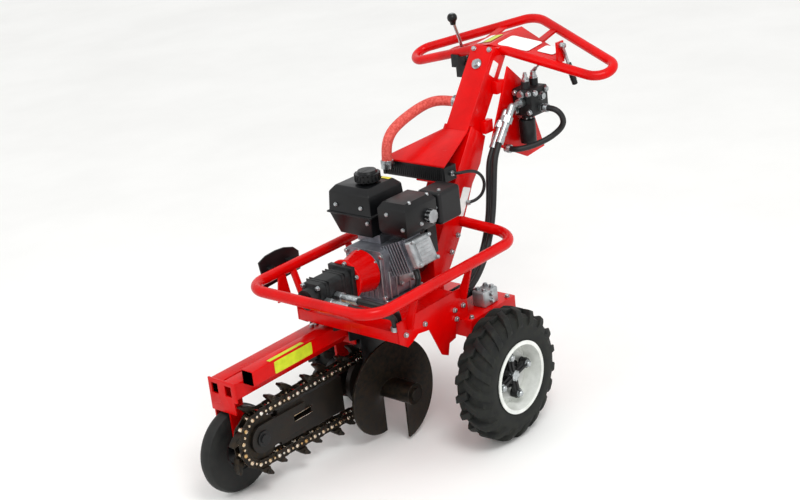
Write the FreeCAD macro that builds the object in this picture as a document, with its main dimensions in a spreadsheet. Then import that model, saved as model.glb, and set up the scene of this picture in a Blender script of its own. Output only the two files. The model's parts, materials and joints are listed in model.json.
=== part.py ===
import FreeCAD, Part
import Sketcher
import math
import os
import re
from types import SimpleNamespace

os.makedirs("parts", exist_ok=True)
doc = FreeCAD.newDocument("walk_behind_trencher")
V = FreeCAD.Vector

# A walk-behind hydraulic chain trencher. +X is forward, towards the boom and the nose wheel,
# +Y is the machine's left and +Z is up. Lengths are millimetres. Shapes are worked out with the
# drive axle at x = 0, and each finished piece is then moved by centre_shift.
SIZES = dict(
    tyre_radius=203, tyre_width=118, tyre_inner=243, bead_radius=104, rim_lip=113, rim_wall=3,
    hub_radius=36, axle_radius=16, motor_radius=40, run_clearance=0.05,
    nose_x=662, nose_radius=134, nose_width=50, nose_y=-200, nose_rim_radius=62, nose_pin=9,
    plate=6, deck_top=455, deck_front=345, deck_rear=29, side_y=202,
    rail_side=50, rail_bottom=318, rail_front=694, rail_rear=235, rail_wall=4, rail_gap=5,
    rail_left=-130, guard_side=46, guard_front=660, guard_bottom=358,
    head_x=190, head_z=170, head_pitch_radius=87, idler_x=648, idler_z=186,
    idler_pitch_radius=78, chain_y=-110, links=38, roller_radius=9, roller_width=20,
    link_height=28, link_plate=3, cutter_height=45, shaft_radius=19,
    auger_radius=158, auger_start=-60, auger_end=98, auger_core=34, flight=7,
    flight_low=-42, flight_high=57,
    boom_arm_y=-155, boom_arm=10, horn=60, lift_travel=55, pin_radius=8, slot_clearance=1.3,
    box_top=385, box_bottom=330, box_rear=-162, box_front=60, box_half=235,
    rail_height=570, rail_tube=16.5, hoop_front=493, hoop_rear=-196, hoop_half=248,
    hoop_corner=75, column_wide=86, column_deep=70, column_wall=4,
    bar_radius=15, bar_tip=408, bar_apex=-698, bar_top=1117, bar_corner_trim=8,
    crank_y=-30, crank_z=561, hose=19, sleeve=33, clamp_wall=3,
)

sheet = doc.addObject("Spreadsheet::Sheet", "Sizes")
for row, (alias, value) in enumerate(SIZES.items(), start=1):
    sheet.set("A%d" % row, alias)
    sheet.set("B%d" % row, str(value))
    sheet.setAlias("B%d" % row, alias)
nose_reach = SIZES["nose_x"] + SIZES["nose_radius"]
bar_reach = SIZES["bar_apex"] - SIZES["bar_radius"]
last = len(SIZES) + 1
sheet.set("A%d" % last, "centre_shift")
sheet.set("B%d" % last, str(-(nose_reach + bar_reach) / 2))
sheet.setAlias("B%d" % last, "centre_shift")
doc.recompute()
S = SimpleNamespace(**SIZES, centre_shift=-(nose_reach + bar_reach) / 2)
NODES = []


def bind(thing, prop, formula):
    """Bind a property to a formula of the sheet's named sizes."""
    def word(found):
        return "Sizes." + found.group() if found.group() in vars(S) else found.group()
    thing.setExpression(prop, re.sub(r"[A-Za-z_]\w*", word, str(formula)))


def box(x0, x1, y0, y1, z0, z1):
    """A block between two corners, each side a formula."""
    block = doc.addObject("Part::Box", "block")
    for prop, low, high in (("Length", x0, x1), ("Width", y0, y1), ("Height", z0, z1)):
        bind(block, prop, "(%s) - (%s)" % (high, low))
    for prop, low in (("x", x0), ("y", y0), ("z", z0)):
        bind(block, "Placement.Base." + prop, low)
    return block


TURNS = {"x": (V(0, 1, 0), 90), "y": (V(1, 0, 0), -90), "z": (V(0, 0, 1), 0)}


def rod(axis, low, high, first, second, radius):
    """A cylinder along an axis; first and second are its place on the other two axes, in order."""
    round_bar = doc.addObject("Part::Cylinder", "bar")
    bind(round_bar, "Radius", radius)
    bind(round_bar, "Height", "(%s) - (%s)" % (high, low))
    round_bar.Placement = FreeCAD.Placement(V(), FreeCAD.Rotation(*TURNS[axis]))
    places = [first, second]
    places.insert("xyz".index(axis), low)
    for prop, place in zip("xyz", places):
        bind(round_bar, "Placement.Base." + prop, place)
    return round_bar


def fuse(*pieces):
    joined = doc.addObject("Part::MultiFuse", "joined")
    joined.Shapes = list(pieces)
    return joined


def cut(base, *tools):
    result = doc.addObject("Part::Cut", "cut")
    result.Base = base
    result.Tool = tools[0] if len(tools) == 1 else fuse(*tools)
    return result


def solid(shape):
    """A piece whose shape is worked out here, because no feature makes it."""
    feature = doc.addObject("Part::Feature", "shape")
    feature.Shape = shape
    return feature


def node(label, *pieces):
    """Name a finished piece, or a group of separate solids, and move it to the part's frame."""
    group = doc.addObject("Part::Compound", "node")
    group.Links = list(pieces)
    group.Label = label
    bind(group, "Placement.Base.x", "centre_shift")
    NODES.append(group)
    return group


def body_node(label, body, y):
    body.Label = label
    bind(body, "Placement.Base.x", "centre_shift")
    bind(body, "Placement.Base.y", y)
    NODES.append(body)


def sketch_of(body, role, points):
    """A closed outline of straight sides on one of the body's own planes."""
    sketch = body.newObject("Sketcher::SketchObject", "outline")
    plane = [f for f in body.Origin.OriginFeatures if f.Role == role][0]
    sketch.AttachmentSupport = [(plane, "")]
    sketch.MapMode = "FlatFace"
    ends = [V(a, b, 0) for a, b in points]
    for start, end in zip(ends, ends[1:] + ends[:1]):
        sketch.addGeometry(Part.LineSegment(start, end), False)
    count = len(ends)
    for index in range(count):
        sketch.addConstraint(Sketcher.Constraint("Coincident", index, 2, (index + 1) % count, 1))
    for index in range(count):
        sketch.addConstraint(Sketcher.Constraint("Block", index))
    return sketch


def plate_body(name, points, thickness):
    """A flat plate: an outline of (x, z) points padded towards -Y."""
    body = doc.addObject("PartDesign::Body", name)
    sketch = sketch_of(body, "XZ_Plane", points)
    pad = body.newObject("PartDesign::Pad", "pad")
    pad.Profile = sketch
    bind(pad, "Length", thickness)
    body.Tip = pad
    return body


def turned_body(name, points, z):
    """A turned piece about a Y axis at height z: an outline of (radius, y) points."""
    body = doc.addObject("PartDesign::Body", name)
    sketch = sketch_of(body, "XY_Plane", points)
    turn = body.newObject("PartDesign::Revolution", "turn")
    turn.Profile = sketch
    turn.ReferenceAxis = (sketch, ["V_Axis"])
    turn.Angle = 360
    body.Tip = turn
    bind(body, "Placement.Base.z", z)
    return body


def slab(points, y0, y1):
    """A flat plate of (x, z) points between two y planes."""
    ends = [V(x, y0, z) for x, z in points]
    return Part.Face(Part.makePolygon(ends + ends[:1])).extrude(V(0, y1 - y0, 0))


def bar(start, end, radius):
    line = V(*end) - V(*start)
    return Part.makeCylinder(radius, line.Length, V(*start), line)


def rounded_path(points, radii=None, closed=False):
    """Straight runs joined by tangent arcs; each arc is as large as its runs allow."""
    spots = [V(*p) for p in points]
    count = len(spots)
    used = []
    corners = {}
    for index in range(count) if closed else range(1, count - 1):
        before, here, after = spots[index - 1], spots[index], spots[(index + 1) % count]
        back, on = before - here, after - here
        turn = math.pi - back.getAngle(on)
        short = min(back.Length, on.Length)
        radius = radii[index] if radii else 0.45 * short / math.tan(turn / 2)
        used.append(round(radius))
        back.normalize()
        on.normalize()
        reach = radius * math.tan(turn / 2)
        middle = back + on
        middle.normalize()
        depth = radius / math.cos(turn / 2) - radius
        corners[index] = (here + back * reach, here + middle * depth, here + on * reach)
    edges = []
    order = list(range(count)) if closed else list(range(1, count - 1))
    at = corners[order[-1]][2] if closed else spots[0]
    for index in order:
        first, top, second = corners[index]
        if (first - at).Length > 1e-6:
            edges.append(Part.LineSegment(at, first).toShape())
        edges.append(Part.Arc(first, top, second).toShape())
        at = second
    if not closed:
        edges.append(Part.LineSegment(at, spots[-1]).toShape())
    return Part.Wire(edges), used


def tube(points, radius, radii=None, closed=False):
    """A round bar along a rounded path, its volume compared with section times length."""
    wire, used = rounded_path(points, radii, closed)
    edge = wire.Edges[0]
    start = edge.valueAt(edge.FirstParameter)
    way = edge.tangentAt(edge.FirstParameter)
    ring = Part.Wire(Part.makeCircle(radius, start, way))
    shape = wire.makePipeShell([ring], True, False)
    shape = shape if shape.ShapeType == "Solid" else Part.Solid(Part.Shell(shape.Faces))
    expected = math.pi * radius ** 2 * wire.Length
    if abs(shape.Volume / expected - 1) > 0.01:
        raise ValueError("tube volume is off: %.3f" % (shape.Volume / expected))
    return shape, used, wire.Length


def hex_head(at, way, across, height):
    """A hexagon bolt head standing on a face."""
    way = V(*way)
    turn = FreeCAD.Rotation(V(0, 0, 1), way)
    ends = []
    for corner in range(6):
        angle = math.radians(60 * corner)
        flat = V(math.cos(angle), math.sin(angle), 0) * (across / math.sqrt(3))
        ends.append(V(*at) + turn.multVec(flat))
    return Part.Face(Part.makePolygon(ends + ends[:1])).extrude(way * height)


# Drive wheels: a rubber tyre, a pressed disc wheel and a bolted hub on each side.
tyre_outer = S.tyre_inner + S.tyre_width
shoulder = 26
for side, sign in (("left", 1), ("right", -1)):
    middle = S.tyre_inner + S.tyre_width / 2
    section = [(S.bead_radius, S.tyre_inner + 8), (S.bead_radius + 30, S.tyre_inner),
               (S.tyre_radius - shoulder, S.tyre_inner + 2),
               (S.tyre_radius - 5, S.tyre_inner + 14), (S.tyre_radius, S.tyre_inner + 34),
               (S.tyre_radius, tyre_outer - 34), (S.tyre_radius - 5, tyre_outer - 14),
               (S.tyre_radius - shoulder, tyre_outer - 2), (S.bead_radius + 30, tyre_outer),
               (S.bead_radius, tyre_outer - 8)]
    tyre = turned_body("tyre_" + side, [(r, sign * y) for r, y in section], "tyre_radius")
    body_node("tyre_" + side, tyre, 0)
    low, high, wall = S.tyre_inner + 8, tyre_outer - 8, S.rim_wall
    disc = middle - 8
    section = [(S.hub_radius + 6, disc), (60, disc), (78, disc + 18), (92, disc + 4),
               (S.bead_radius, disc + 4), (S.bead_radius, low - 5),
               (S.rim_lip, low - 5), (S.rim_lip, low - 5 - wall),
               (S.bead_radius - wall, low - 5 - wall), (S.bead_radius - wall, disc),
               (92, disc), (78, disc + 14), (60, disc - 4), (S.hub_radius + 6, disc - 4)]
    outer = [(S.bead_radius, disc + 4), (S.bead_radius, high + 5),
             (S.rim_lip, high + 5), (S.rim_lip, high + 5 + wall),
             (S.bead_radius - wall, high + 5 + wall), (S.bead_radius - wall, disc + 4)]
    ring = section[:4] + outer[::-1][:1] + outer[::-1][1:5] + section[4:]
    rim = turned_body("rim_" + side, [(r, sign * y) for r, y in ring], "tyre_radius")
    body_node("rim_" + side, rim, 0)
    face = disc
    hub = [Part.makeCylinder(r, abs(b - a), V(0, min(sign * a, sign * b), S.tyre_radius), V(0, 1, 0))
           for r, a, b in ((S.hub_radius + 24, face - 16, face - 4), (S.hub_radius, face - 4, face + 24),
                           (S.axle_radius, 182, face - 16), (24, 222, face - 16),
                           (10, face + 24, face + 44))]
    hub_shape = hub[0].multiFuse(hub[1:]).removeSplitter()
    nuts = [hex_head((0, sign * (face + 24), S.tyre_radius), (0, sign, 0), 30, 12).cut(hub[4])]
    for index in range(5):
        angle = math.radians(72 * index + 20)
        at = (49 * math.cos(angle), sign * face, S.tyre_radius + 49 * math.sin(angle))
        nuts.append(hex_head(at, (0, sign, 0), 17, 12))
    node("hub_" + side, solid(hub_shape), *[solid(n) for n in nuts])

# Hydraulic wheel motors on plates below the rear box, each with a bore for its axle.
wheel_motors = []
for sign in (1, -1):
    low, high = sorted((178 * sign, 206 * sign))
    shell = rod("y", low, high, 0, "tyre_radius", "motor_radius")
    bore_low, bore_high = sorted((181.9 * sign, 206.1 * sign))
    bore = rod("y", bore_low, bore_high, 0, "tyre_radius", "axle_radius + run_clearance")
    wheel_motors.append(cut(shell, bore))
node("wheel_motors", *wheel_motors)

# Rear box: the closed cross member with the motor plates and the lug of the lift cylinder.
beam = box("box_rear", "box_front", "-box_half", "box_half", "box_bottom", "box_top")
drops = []
bores = []
for low, high in ((206, 214), (-214, -206)):
    drops.append(box(-55, 55, low, high, 145, "box_bottom"))
    bores.append(rod("y", low - 1, high + 1, 0, "tyre_radius", "axle_radius + 9"))
lug = box(-20, 10, "boom_arm_y - 5", "boom_arm_y + 5", 212, "box_bottom")
lug_bore = rod("y", "boom_arm_y - 6", "boom_arm_y + 6", -5, "head_z + horn", "pin_radius")
node("rear_box", cut(fuse(beam, lug, *drops), lug_bore, *bores))

# Chassis: deck plate, two flame-cut side plates and the bulkhead that carries the front rails.
side_outline = [(345, 485), (345, 420), (312, 398), (291, 405), (262, 420), (211, 412), (164, 312),
                (138, 299), (128, 335), (97, 340), (90, 385), (29, 385), (29, 485)]
side_plates = []
for side, y in (("left", "side_y"), ("right", "-side_y + plate")):
    plate_of_side = plate_body("side_plate_" + side, side_outline, "plate")
    bind(plate_of_side, "Placement.Base.y", y)
    side_plates.append(plate_of_side)
node("side_plates", *side_plates)
inner = "side_y - plate"
deck = box("deck_rear", "deck_front", "-(%s)" % inner, inner, "deck_top - plate", "deck_top")
front_lip = box("deck_front - plate", "deck_front", "-(%s)" % inner, inner, 420, "deck_top - plate")
node("deck_plate", fuse(deck, front_lip))
rail_right = "rail_left - 2 * rail_side - rail_gap"
wall_plate = fuse(box("rail_rear - plate", "rail_rear", rail_right, "rail_left + guard_side",
                      "rail_bottom - 4", "rail_bottom + rail_side + 4"),
                  box("rail_rear - plate", "rail_rear", "-side_y + plate", "rail_left + guard_side",
                      "rail_bottom + rail_side", "deck_top - plate"))
hanger = fuse(box(150, 228, "boom_arm_y - 30", "boom_arm_y - 20", "head_z - 55", "deck_top - plate"),
              rod("y", "boom_arm_y - 30", "boom_arm_y - 14", "head_x", "head_z", 44))
bearing_plate = cut(hanger, rod("y", "boom_arm_y - 31", "boom_arm_y - 13", "head_x", "head_z",
                                    "shaft_radius + run_clearance"))
cross_bar = box(55, 75, "-side_y + plate", "side_y - plate", 387, 409)
node("chassis_brackets", wall_plate, cross_bar, bearing_plate)

# Front rails: two hollow square tubes side by side, and the short guard tube above the chain.
rails = []
for shift in ("0", "rail_side + rail_gap"):
    high = "rail_left - (%s)" % shift
    low = "%s - rail_side" % high
    outer = box("rail_rear", "rail_front", low, high, "rail_bottom", "rail_bottom + rail_side")
    hole = box("rail_rear - 1", "rail_front + 1", low + " + rail_wall", high + " - rail_wall",
               "rail_bottom + rail_wall", "rail_bottom + rail_side - rail_wall")
    rails.append(cut(outer, hole))
guard = box("rail_rear", "guard_front", "rail_left", "rail_left + guard_side", "guard_bottom",
            "guard_bottom + guard_side")
guard_hole = box("rail_rear + 3", "guard_front + 1", "rail_left + rail_wall",
                 "rail_left + guard_side - rail_wall", "guard_bottom + rail_wall",
                 "guard_bottom + guard_side - rail_wall")
node("front_rails", *rails, cut(guard, guard_hole))

# Nose fork: the end plate of the rails, with a leg down each side of the nose wheel.
end_plate = box("rail_front", "rail_front + plate", rail_right, "rail_left + 6", "rail_bottom - 6",
                "rail_bottom + rail_side + plate")
slots = []
for shift in ("0", "rail_side + rail_gap"):
    high = "rail_left - (%s)" % shift
    slots.append(box("rail_front - 1", "rail_front + plate + 1", high + " - rail_side + 12",
                     high + " - 12", "rail_bottom + 10", "rail_bottom + rail_side - 8"))
end_plate = fuse(end_plate, box("rail_front", "rail_front + plate", rail_right, "rail_left - rail_gap",
                                "rail_bottom - 46", "rail_bottom"))
legs = []
for y in ("nose_y + nose_width / 2 + 2", "nose_y - nose_width / 2 - 2 - plate"):
    legs.append(box("nose_x - 22", "rail_front", y, y + " + plate", "nose_radius - 26", "rail_bottom"))
leg_bore = rod("y", "nose_y - 60", "nose_y + 60", "nose_x", "nose_radius", "nose_pin")
axle = rod("y", "nose_y - 42", "nose_y + 42", "nose_x", "nose_radius", "nose_pin")
node("nose_fork", cut(fuse(end_plate, *legs), leg_bore, *slots), axle)
tread = rod("y", "nose_y - nose_width / 2", "nose_y + nose_width / 2", "nose_x", "nose_radius",
            "nose_radius")
core = rod("y", "nose_y - 40", "nose_y + 40", "nose_x", "nose_radius", "nose_rim_radius")
node("nose_tyre", cut(tread, core))
rim_disc = rod("y", "nose_y - 22", "nose_y + 22", "nose_x", "nose_radius", "nose_rim_radius")
bore = rod("y", "nose_y - 40", "nose_y + 40", "nose_x", "nose_radius", "nose_pin + run_clearance")
node("nose_rim", cut(rim_disc, bore))

# Digging chain: pins at equal steps along a belt path round the head sprocket and the idler.
head = V(S.head_x, 0, S.head_z)
idler = V(S.idler_x, 0, S.idler_z)
span = idler - head
lean = math.atan2(span.z, span.x)
wrap = math.asin((S.head_pitch_radius - S.idler_pitch_radius) / span.Length)
straight = span.Length * math.cos(wrap)
head_arc = (math.pi + 2 * wrap) * S.head_pitch_radius
idler_arc = (math.pi - 2 * wrap) * S.idler_pitch_radius
loop = 2 * straight + head_arc + idler_arc


def on_loop(run):
    """The point of the chain's pin line at a distance along it, and its outward direction."""
    run = run % loop
    top = lean + math.pi / 2 - wrap
    out = V(math.cos(top), 0, math.sin(top))
    if run < straight:
        start = head + out * S.head_pitch_radius
        along = V(math.cos(lean - wrap), 0, math.sin(lean - wrap))
        return start + along * run, out
    run -= straight
    if run < idler_arc:
        angle = top - run / S.idler_pitch_radius
        out = V(math.cos(angle), 0, math.sin(angle))
        return idler + out * S.idler_pitch_radius, out
    run -= idler_arc
    low = lean - math.pi / 2 + wrap
    if run < straight:
        out = V(math.cos(low), 0, math.sin(low))
        start = idler + out * S.idler_pitch_radius
        along = V(-math.cos(lean + wrap), 0, -math.sin(lean + wrap))
        return start + along * run, out
    run -= straight
    angle = low - run / S.head_pitch_radius
    out = V(math.cos(angle), 0, math.sin(angle))
    return head + out * S.head_pitch_radius, out


links = []
pins = []
cutters = []
pitch = loop / S.links
half = S.roller_width / 2
for index in range(S.links):
    here, out = on_loop(index * pitch)
    there = on_loop((index + 1) * pitch)[0]
    along = there - here
    length = along.Length
    along.normalize()
    up = V(-along.z, 0, along.x)
    if up.dot(out) < 0:
        up = up * -1
    pins.append(Part.makeCylinder(S.roller_radius, S.roller_width - 0.6,
                                  here + V(0, S.chain_y - half + 0.3, 0), V(0, 1, 0)))
    inset = 0 if index % 2 else S.link_plate + 0.2
    rise = S.link_height / 2
    hold = 11
    outline = [here - along * hold + up * rise * 0.6, here + up * rise, there + up * rise,
               there + along * hold + up * rise * 0.6, there + along * hold - up * rise * 0.6,
               there - up * rise * 0.9, here - up * rise * 0.9, here - along * hold - up * rise * 0.6]
    for sign in (-1, 1):
        near = S.chain_y + sign * (half + inset)
        far = near + sign * S.link_plate
        face = Part.Face(Part.makePolygon([p + V(0, near, 0) for p in outline + outline[:1]]))
        links.append(face.extrude(V(0, far - near, 0)))
    if index % 2 == 0:
        sign = 1 if (index // 2) % 2 else -1
        base = S.chain_y + sign * 1.0
        tip = 22 * sign
        middle = (here + there) * 0.5
        root = middle + up * (rise + 0.3)
        tall = S.cutter_height - 14.5
        blade = [root - along * 17, root + along * 14, root + along * 17 + up * 9,
                 root + along * 30 + up * (tall - 5), root + along * 26 + up * tall,
                 root + along * 4 + up * (tall - 8), root - along * 13 + up * 9]
        face = Part.Face(Part.makePolygon([p + V(0, base, 0) for p in blade + blade[:1]]))
        cutters.append(face.extrude(V(0, tip - sign, 0)))
node("chain_links", *[solid(s) for s in links])
node("chain_rollers", *[solid(s) for s in pins])
node("chain_cutters", *[solid(s) for s in cutters])

# Boom: the arm plate with its horn, the bar inside the chain, the nose idler and its bolt.
horn_tilt = math.radians(S.lift_travel / 2)
arm_low, arm_high = S.boom_arm_y - S.boom_arm / 2, S.boom_arm_y + S.boom_arm / 2
arm = slab([(S.head_x, S.head_z - 40), (560, 145), (560, 215), (S.head_x + 30, S.head_z + 36)],
           arm_low, arm_high)
ring = Part.makeCylinder(42, S.boom_arm, V(S.head_x, arm_low, S.head_z), V(0, 1, 0))
horn_way = V(-math.sin(horn_tilt), 0, math.cos(horn_tilt))
horn_side = V(horn_way.z, 0, -horn_way.x)
horn_long = S.horn / math.cos(horn_tilt) + 22
horn_ends = [head - horn_side * 26, head + horn_side * 26, head + horn_side * 18 + horn_way * horn_long,
             head - horn_side * 18 + horn_way * horn_long]
horn_shape = slab([(p.x, p.z) for p in horn_ends], arm_low, arm_high)
slot_half = S.pin_radius + S.slot_clearance
slot_low, slot_high = S.horn - slot_half, S.horn / math.cos(horn_tilt) + slot_half
slot_ends = [head - horn_side * slot_half + horn_way * slot_low,
             head + horn_side * slot_half + horn_way * slot_low,
             head + horn_side * slot_half + horn_way * slot_high,
             head - horn_side * slot_half + horn_way * slot_high]
slot = slab([(p.x, p.z) for p in slot_ends], arm_low - 1, arm_high + 1)
shaft_hole = Part.makeCylinder(S.shaft_radius + S.run_clearance, 40, V(S.head_x, arm_low - 9, S.head_z),
                               V(0, 1, 0))
arm = arm.multiFuse([ring, horn_shape]).cut(slot).cut(shaft_hole).removeSplitter()
node("boom_arm", solid(arm))
bar_half = half - 0.5
window = slab([(440, 178), (520, 180), (520, 200), (440, 198)], -200, 0)
boom_bar = slab([(300, 118), (575, 128), (575, 240), (300, 232)], S.chain_y - bar_half,
                S.chain_y + bar_half).cut(window)
spacer = slab([(320, 150), (555, 150), (555, 212), (320, 208)], arm_high, S.chain_y - bar_half)
cheeks = []
for near, far in ((half + 0.5 - 1, half + 8), (-half + 0.5, -half - 8)):
    low, high = sorted((S.chain_y + near, S.chain_y + far))
    cheek = slab([(470, 150), (S.idler_x, S.idler_z - 44), (S.idler_x, S.idler_z + 44), (470, 224)],
                 low, high)
    end = Part.makeCylinder(44, high - low, V(S.idler_x, low, S.idler_z), V(0, 1, 0))
    hole = Part.makeCylinder(S.shaft_radius - 5, 40, V(S.idler_x, low - 5, S.idler_z), V(0, 1, 0))
    cheeks.append(cheek.fuse(end).cut(hole).cut(window).removeSplitter())
node("boom_bar", solid(boom_bar), solid(spacer), *[solid(c) for c in cheeks])
idler_pin = "shaft_radius - 5"
wheel = rod("y", "chain_y - 9", "chain_y + 9", "idler_x", "idler_z",
            "idler_pitch_radius - roller_radius - 0.4")
wheel_hole = rod("y", "chain_y - 20", "chain_y + 20", "idler_x", "idler_z", "shaft_radius - 5 + 0.05")
node("nose_idler", cut(wheel, wheel_hole))
bolt = rod("y", "chain_y - 26", "chain_y + 26", "idler_x", "idler_z", idler_pin)
washer = rod("y", "chain_y + 18", "chain_y + 22", "idler_x", "idler_z", 24)
node("idler_bolt", fuse(bolt, washer))

# Head shaft with its sprocket, the auger beside the chain, and the chain motor.
shaft = rod("y", "boom_arm_y - 30", "auger_end + 6", "head_x", "head_z", "shaft_radius")
drum = rod("y", "chain_y - 8", "chain_y + 8", "head_x", "head_z",
           "head_pitch_radius - roller_radius - 0.6")
boss = rod("y", "chain_y - 30", "chain_y + 30", "head_x", "head_z", 36)
node("head_shaft", fuse(shaft, drum, boss))
length = S.auger_end - S.auger_start
core_tube = Part.makeCylinder(S.auger_core, length, V(0, 0, 0), V(0, 0, 1))
core_tube = core_tube.cut(Part.makeCylinder(S.shaft_radius, length, V(), V(0, 0, 1)))
pitch_rise = S.flight_high - S.flight_low - S.flight
helix = Part.makeHelix(pitch_rise, pitch_rise, S.auger_radius, 0, True)
inner_r, outer_r = S.auger_core - 2, S.auger_radius
profile = Part.makePolygon([V(inner_r, 0, 0), V(outer_r, 0, 0), V(outer_r, 0, S.flight),
                            V(inner_r, 0, S.flight), V(inner_r, 0, 0)])
sweep = Part.Wire(helix).makePipeShell([profile], True, True)
flight = sweep if sweep.ShapeType == "Solid" else Part.Solid(sweep.Shells[0])
flight.translate(V(0, 0, S.flight_low - S.auger_start))
auger = core_tube.fuse(flight)
auger.rotate(V(), V(1, 0, 0), -90)
auger.rotate(V(), V(0, 1, 0), 90)
auger.translate(V(S.head_x, S.auger_start, S.head_z))
node("auger", solid(auger))
motor_can = rod("y", "boom_arm_y - 84", "boom_arm_y - 30", "head_x", "head_z", 46)
node("chain_motor", motor_can)
shield = slab([(96, 300), (110, 150), (160, 92), (206, 96), (222, 150), (222, 330), (269, 342), (269, 384),
               (330, 400), (330, 449), (96, 449)], -76, -71)
shield = shield.cut(Part.makeCylinder(40, 20, V(S.head_x, -80, S.head_z), V(0, 1, 0)))
node("auger_shield", solid(shield))

# Lift cylinder: its pin turns in the rear box's lug, its rod's pin runs in the horn's slot.
lift_z = S.head_z + S.horn
pin_rest = S.head_x - S.horn * math.tan(horn_tilt)
barrel = Part.makeCylinder(20, 92, V(16, S.boom_arm_y, lift_z), V(1, 0, 0))
ears = [Part.makeBox(35, 6, 24, V(-17, y, lift_z - 12)) for y in (S.boom_arm_y - 11.5, S.boom_arm_y + 5.5)]
back = Part.makeBox(6, 23, 24, V(12, S.boom_arm_y - 11.5, lift_z - 12))
pin = Part.makeCylinder(S.pin_radius, 26, V(-5, S.boom_arm_y - 13, lift_z), V(0, 1, 0))
barrel = barrel.multiFuse([*ears, back, pin])
barrel = barrel.cut(Part.makeCylinder(9.05, 90, V(22, S.boom_arm_y, lift_z), V(1, 0, 0)))
node("lift_cylinder", solid(barrel))
rod_bar = Part.makeCylinder(9, pin_rest - 40 - 24, V(24, S.boom_arm_y, lift_z), V(1, 0, 0))
block = Part.makeBox(8, 25, 24, V(pin_rest - 44, S.boom_arm_y - 12.5, lift_z - 12))
fork = [Part.makeBox(58, 6, 24, V(pin_rest - 44, y, lift_z - 12))
        for y in (S.boom_arm_y - 12.5, S.boom_arm_y + 6.5)]
rod_pin = Part.makeCylinder(S.pin_radius, 25, V(pin_rest, S.boom_arm_y - 12.5, lift_z), V(0, 1, 0))
node("lift_rod", solid(rod_bar.multiFuse([block, *fork, rod_pin]).removeSplitter()))

# Hydraulic tank: a tall box that leans back from the rear box and carries the column.
tower = slab([(-8, S.box_top), (-50, S.box_top), (-50, 430), (-95, 478), (-145, 545), (-178, 600),
              (-236, 700), (-284, 751), (-322, 831), (-258, 880), (-200, 800), (-152, 731), (-95, 640),
              (-12, 530)], -60, 50)
shelf = Part.makeBox(100, 110, 6, V(-195, -60, 741))
tower = tower.fuse(shelf).removeSplitter()

# Guard hoop round the engine: one bent tube on posts that stand on the side plates.
rear_rise = 28
hoop_points = [(S.hoop_front, S.hoop_half, S.rail_height), (S.hoop_rear, S.hoop_half, S.rail_height),
               (S.hoop_rear + rear_rise, 50, S.rail_height + rear_rise),
               (S.hoop_rear + rear_rise, -50, S.rail_height + rear_rise),
               (S.hoop_rear, -S.hoop_half, S.rail_height), (S.hoop_front, -S.hoop_half, S.rail_height)]
hoop, _, _ = tube(hoop_points, S.rail_tube, [S.hoop_corner] * 2 + [60] * 2 + [S.hoop_corner] * 2, True)
hoop = hoop.cut(tower)
posts = []
for x in (50, 300):
    posts.append(bar((x, -S.side_y - 12, 470), (x, -S.hoop_half, S.rail_height), 11))
    posts.append(Part.makeBox(40, 12, 40, V(x - 20, -S.side_y - 12, 440)))
    tab = [V(x, S.side_y, 452), V(x, S.side_y, 488), V(x, S.hoop_half - 12, S.rail_height - 8),
           V(x, S.hoop_half + 4, S.rail_height - 8), V(x, S.side_y + 16, 452)]
    posts.append(Part.Face(Part.makePolygon(tab + tab[:1])).extrude(V(8, 0, 0)))
gusset = slab([(344, S.rail_height - 8), (372, S.rail_height - 8), (386, 482), (330, 482)],
              -S.hoop_half + 10, -S.hoop_half + 16)
node("guard_hoop", solid(hoop.multiFuse([*posts, gusset]).removeSplitter()))
flap_y = -S.hoop_half - 58
flap = slab([(214, 520), (212, 579), (232, 598), (270, 610), (307, 613), (350, 610), (382, 598), (376, 556),
             (383, 510)], flap_y, flap_y + 6)
flap_tabs = [Part.makeBox(24, 40, 6, V(x, flap_y + 5, S.rail_height - 3)) for x in (250, 330)]
debris = flap.multiFuse(flap_tabs).cut(hoop)
node("debris_shield", solid(debris.removeSplitter()))

# Hydraulic tank with its hood, the oil cooler on it, and the square steering column.
node("hydraulic_tank", solid(tower))
cooler_base, cooler_top = 747, 795
hood = Part.makeLoft([Part.makePolygon([V(-92, -190, cooler_top), V(-92, 60, cooler_top),
                                        V(-92, 60, cooler_top + 6), V(-92, -190, cooler_top + 6),
                                        V(-92, -190, cooler_top)]),
                      Part.makePolygon([V(-246, -43, 866), V(-246, 43, 866), V(-246, 43, 873),
                                        V(-246, -43, 873), V(-246, -43, 866)])], True)
node("tank_hood", solid(hood))
node("oil_cooler", box(-150, -95, -190, 60, cooler_base, cooler_top - 0.3))
foot, top = V(-262, 0, 842), V(-438, 0, 1073)
rise_way = top - foot
column_long = rise_way.Length
column_turn = FreeCAD.Rotation(V(0, 0, 1), rise_way)
half_wide, half_deep = S.column_wide / 2, S.column_deep / 2
outer = Part.makeBox(S.column_deep, S.column_wide, column_long, V(-half_deep, -half_wide, 0))
inner = Part.makeBox(S.column_deep - 2 * S.column_wall, S.column_wide - 2 * S.column_wall, column_long,
                     V(-half_deep + S.column_wall, -half_wide + S.column_wall, 0))
column = outer.cut(inner)
column.Placement = FreeCAD.Placement(foot, column_turn)
column = column.cut(tower).cut(hood)

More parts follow.
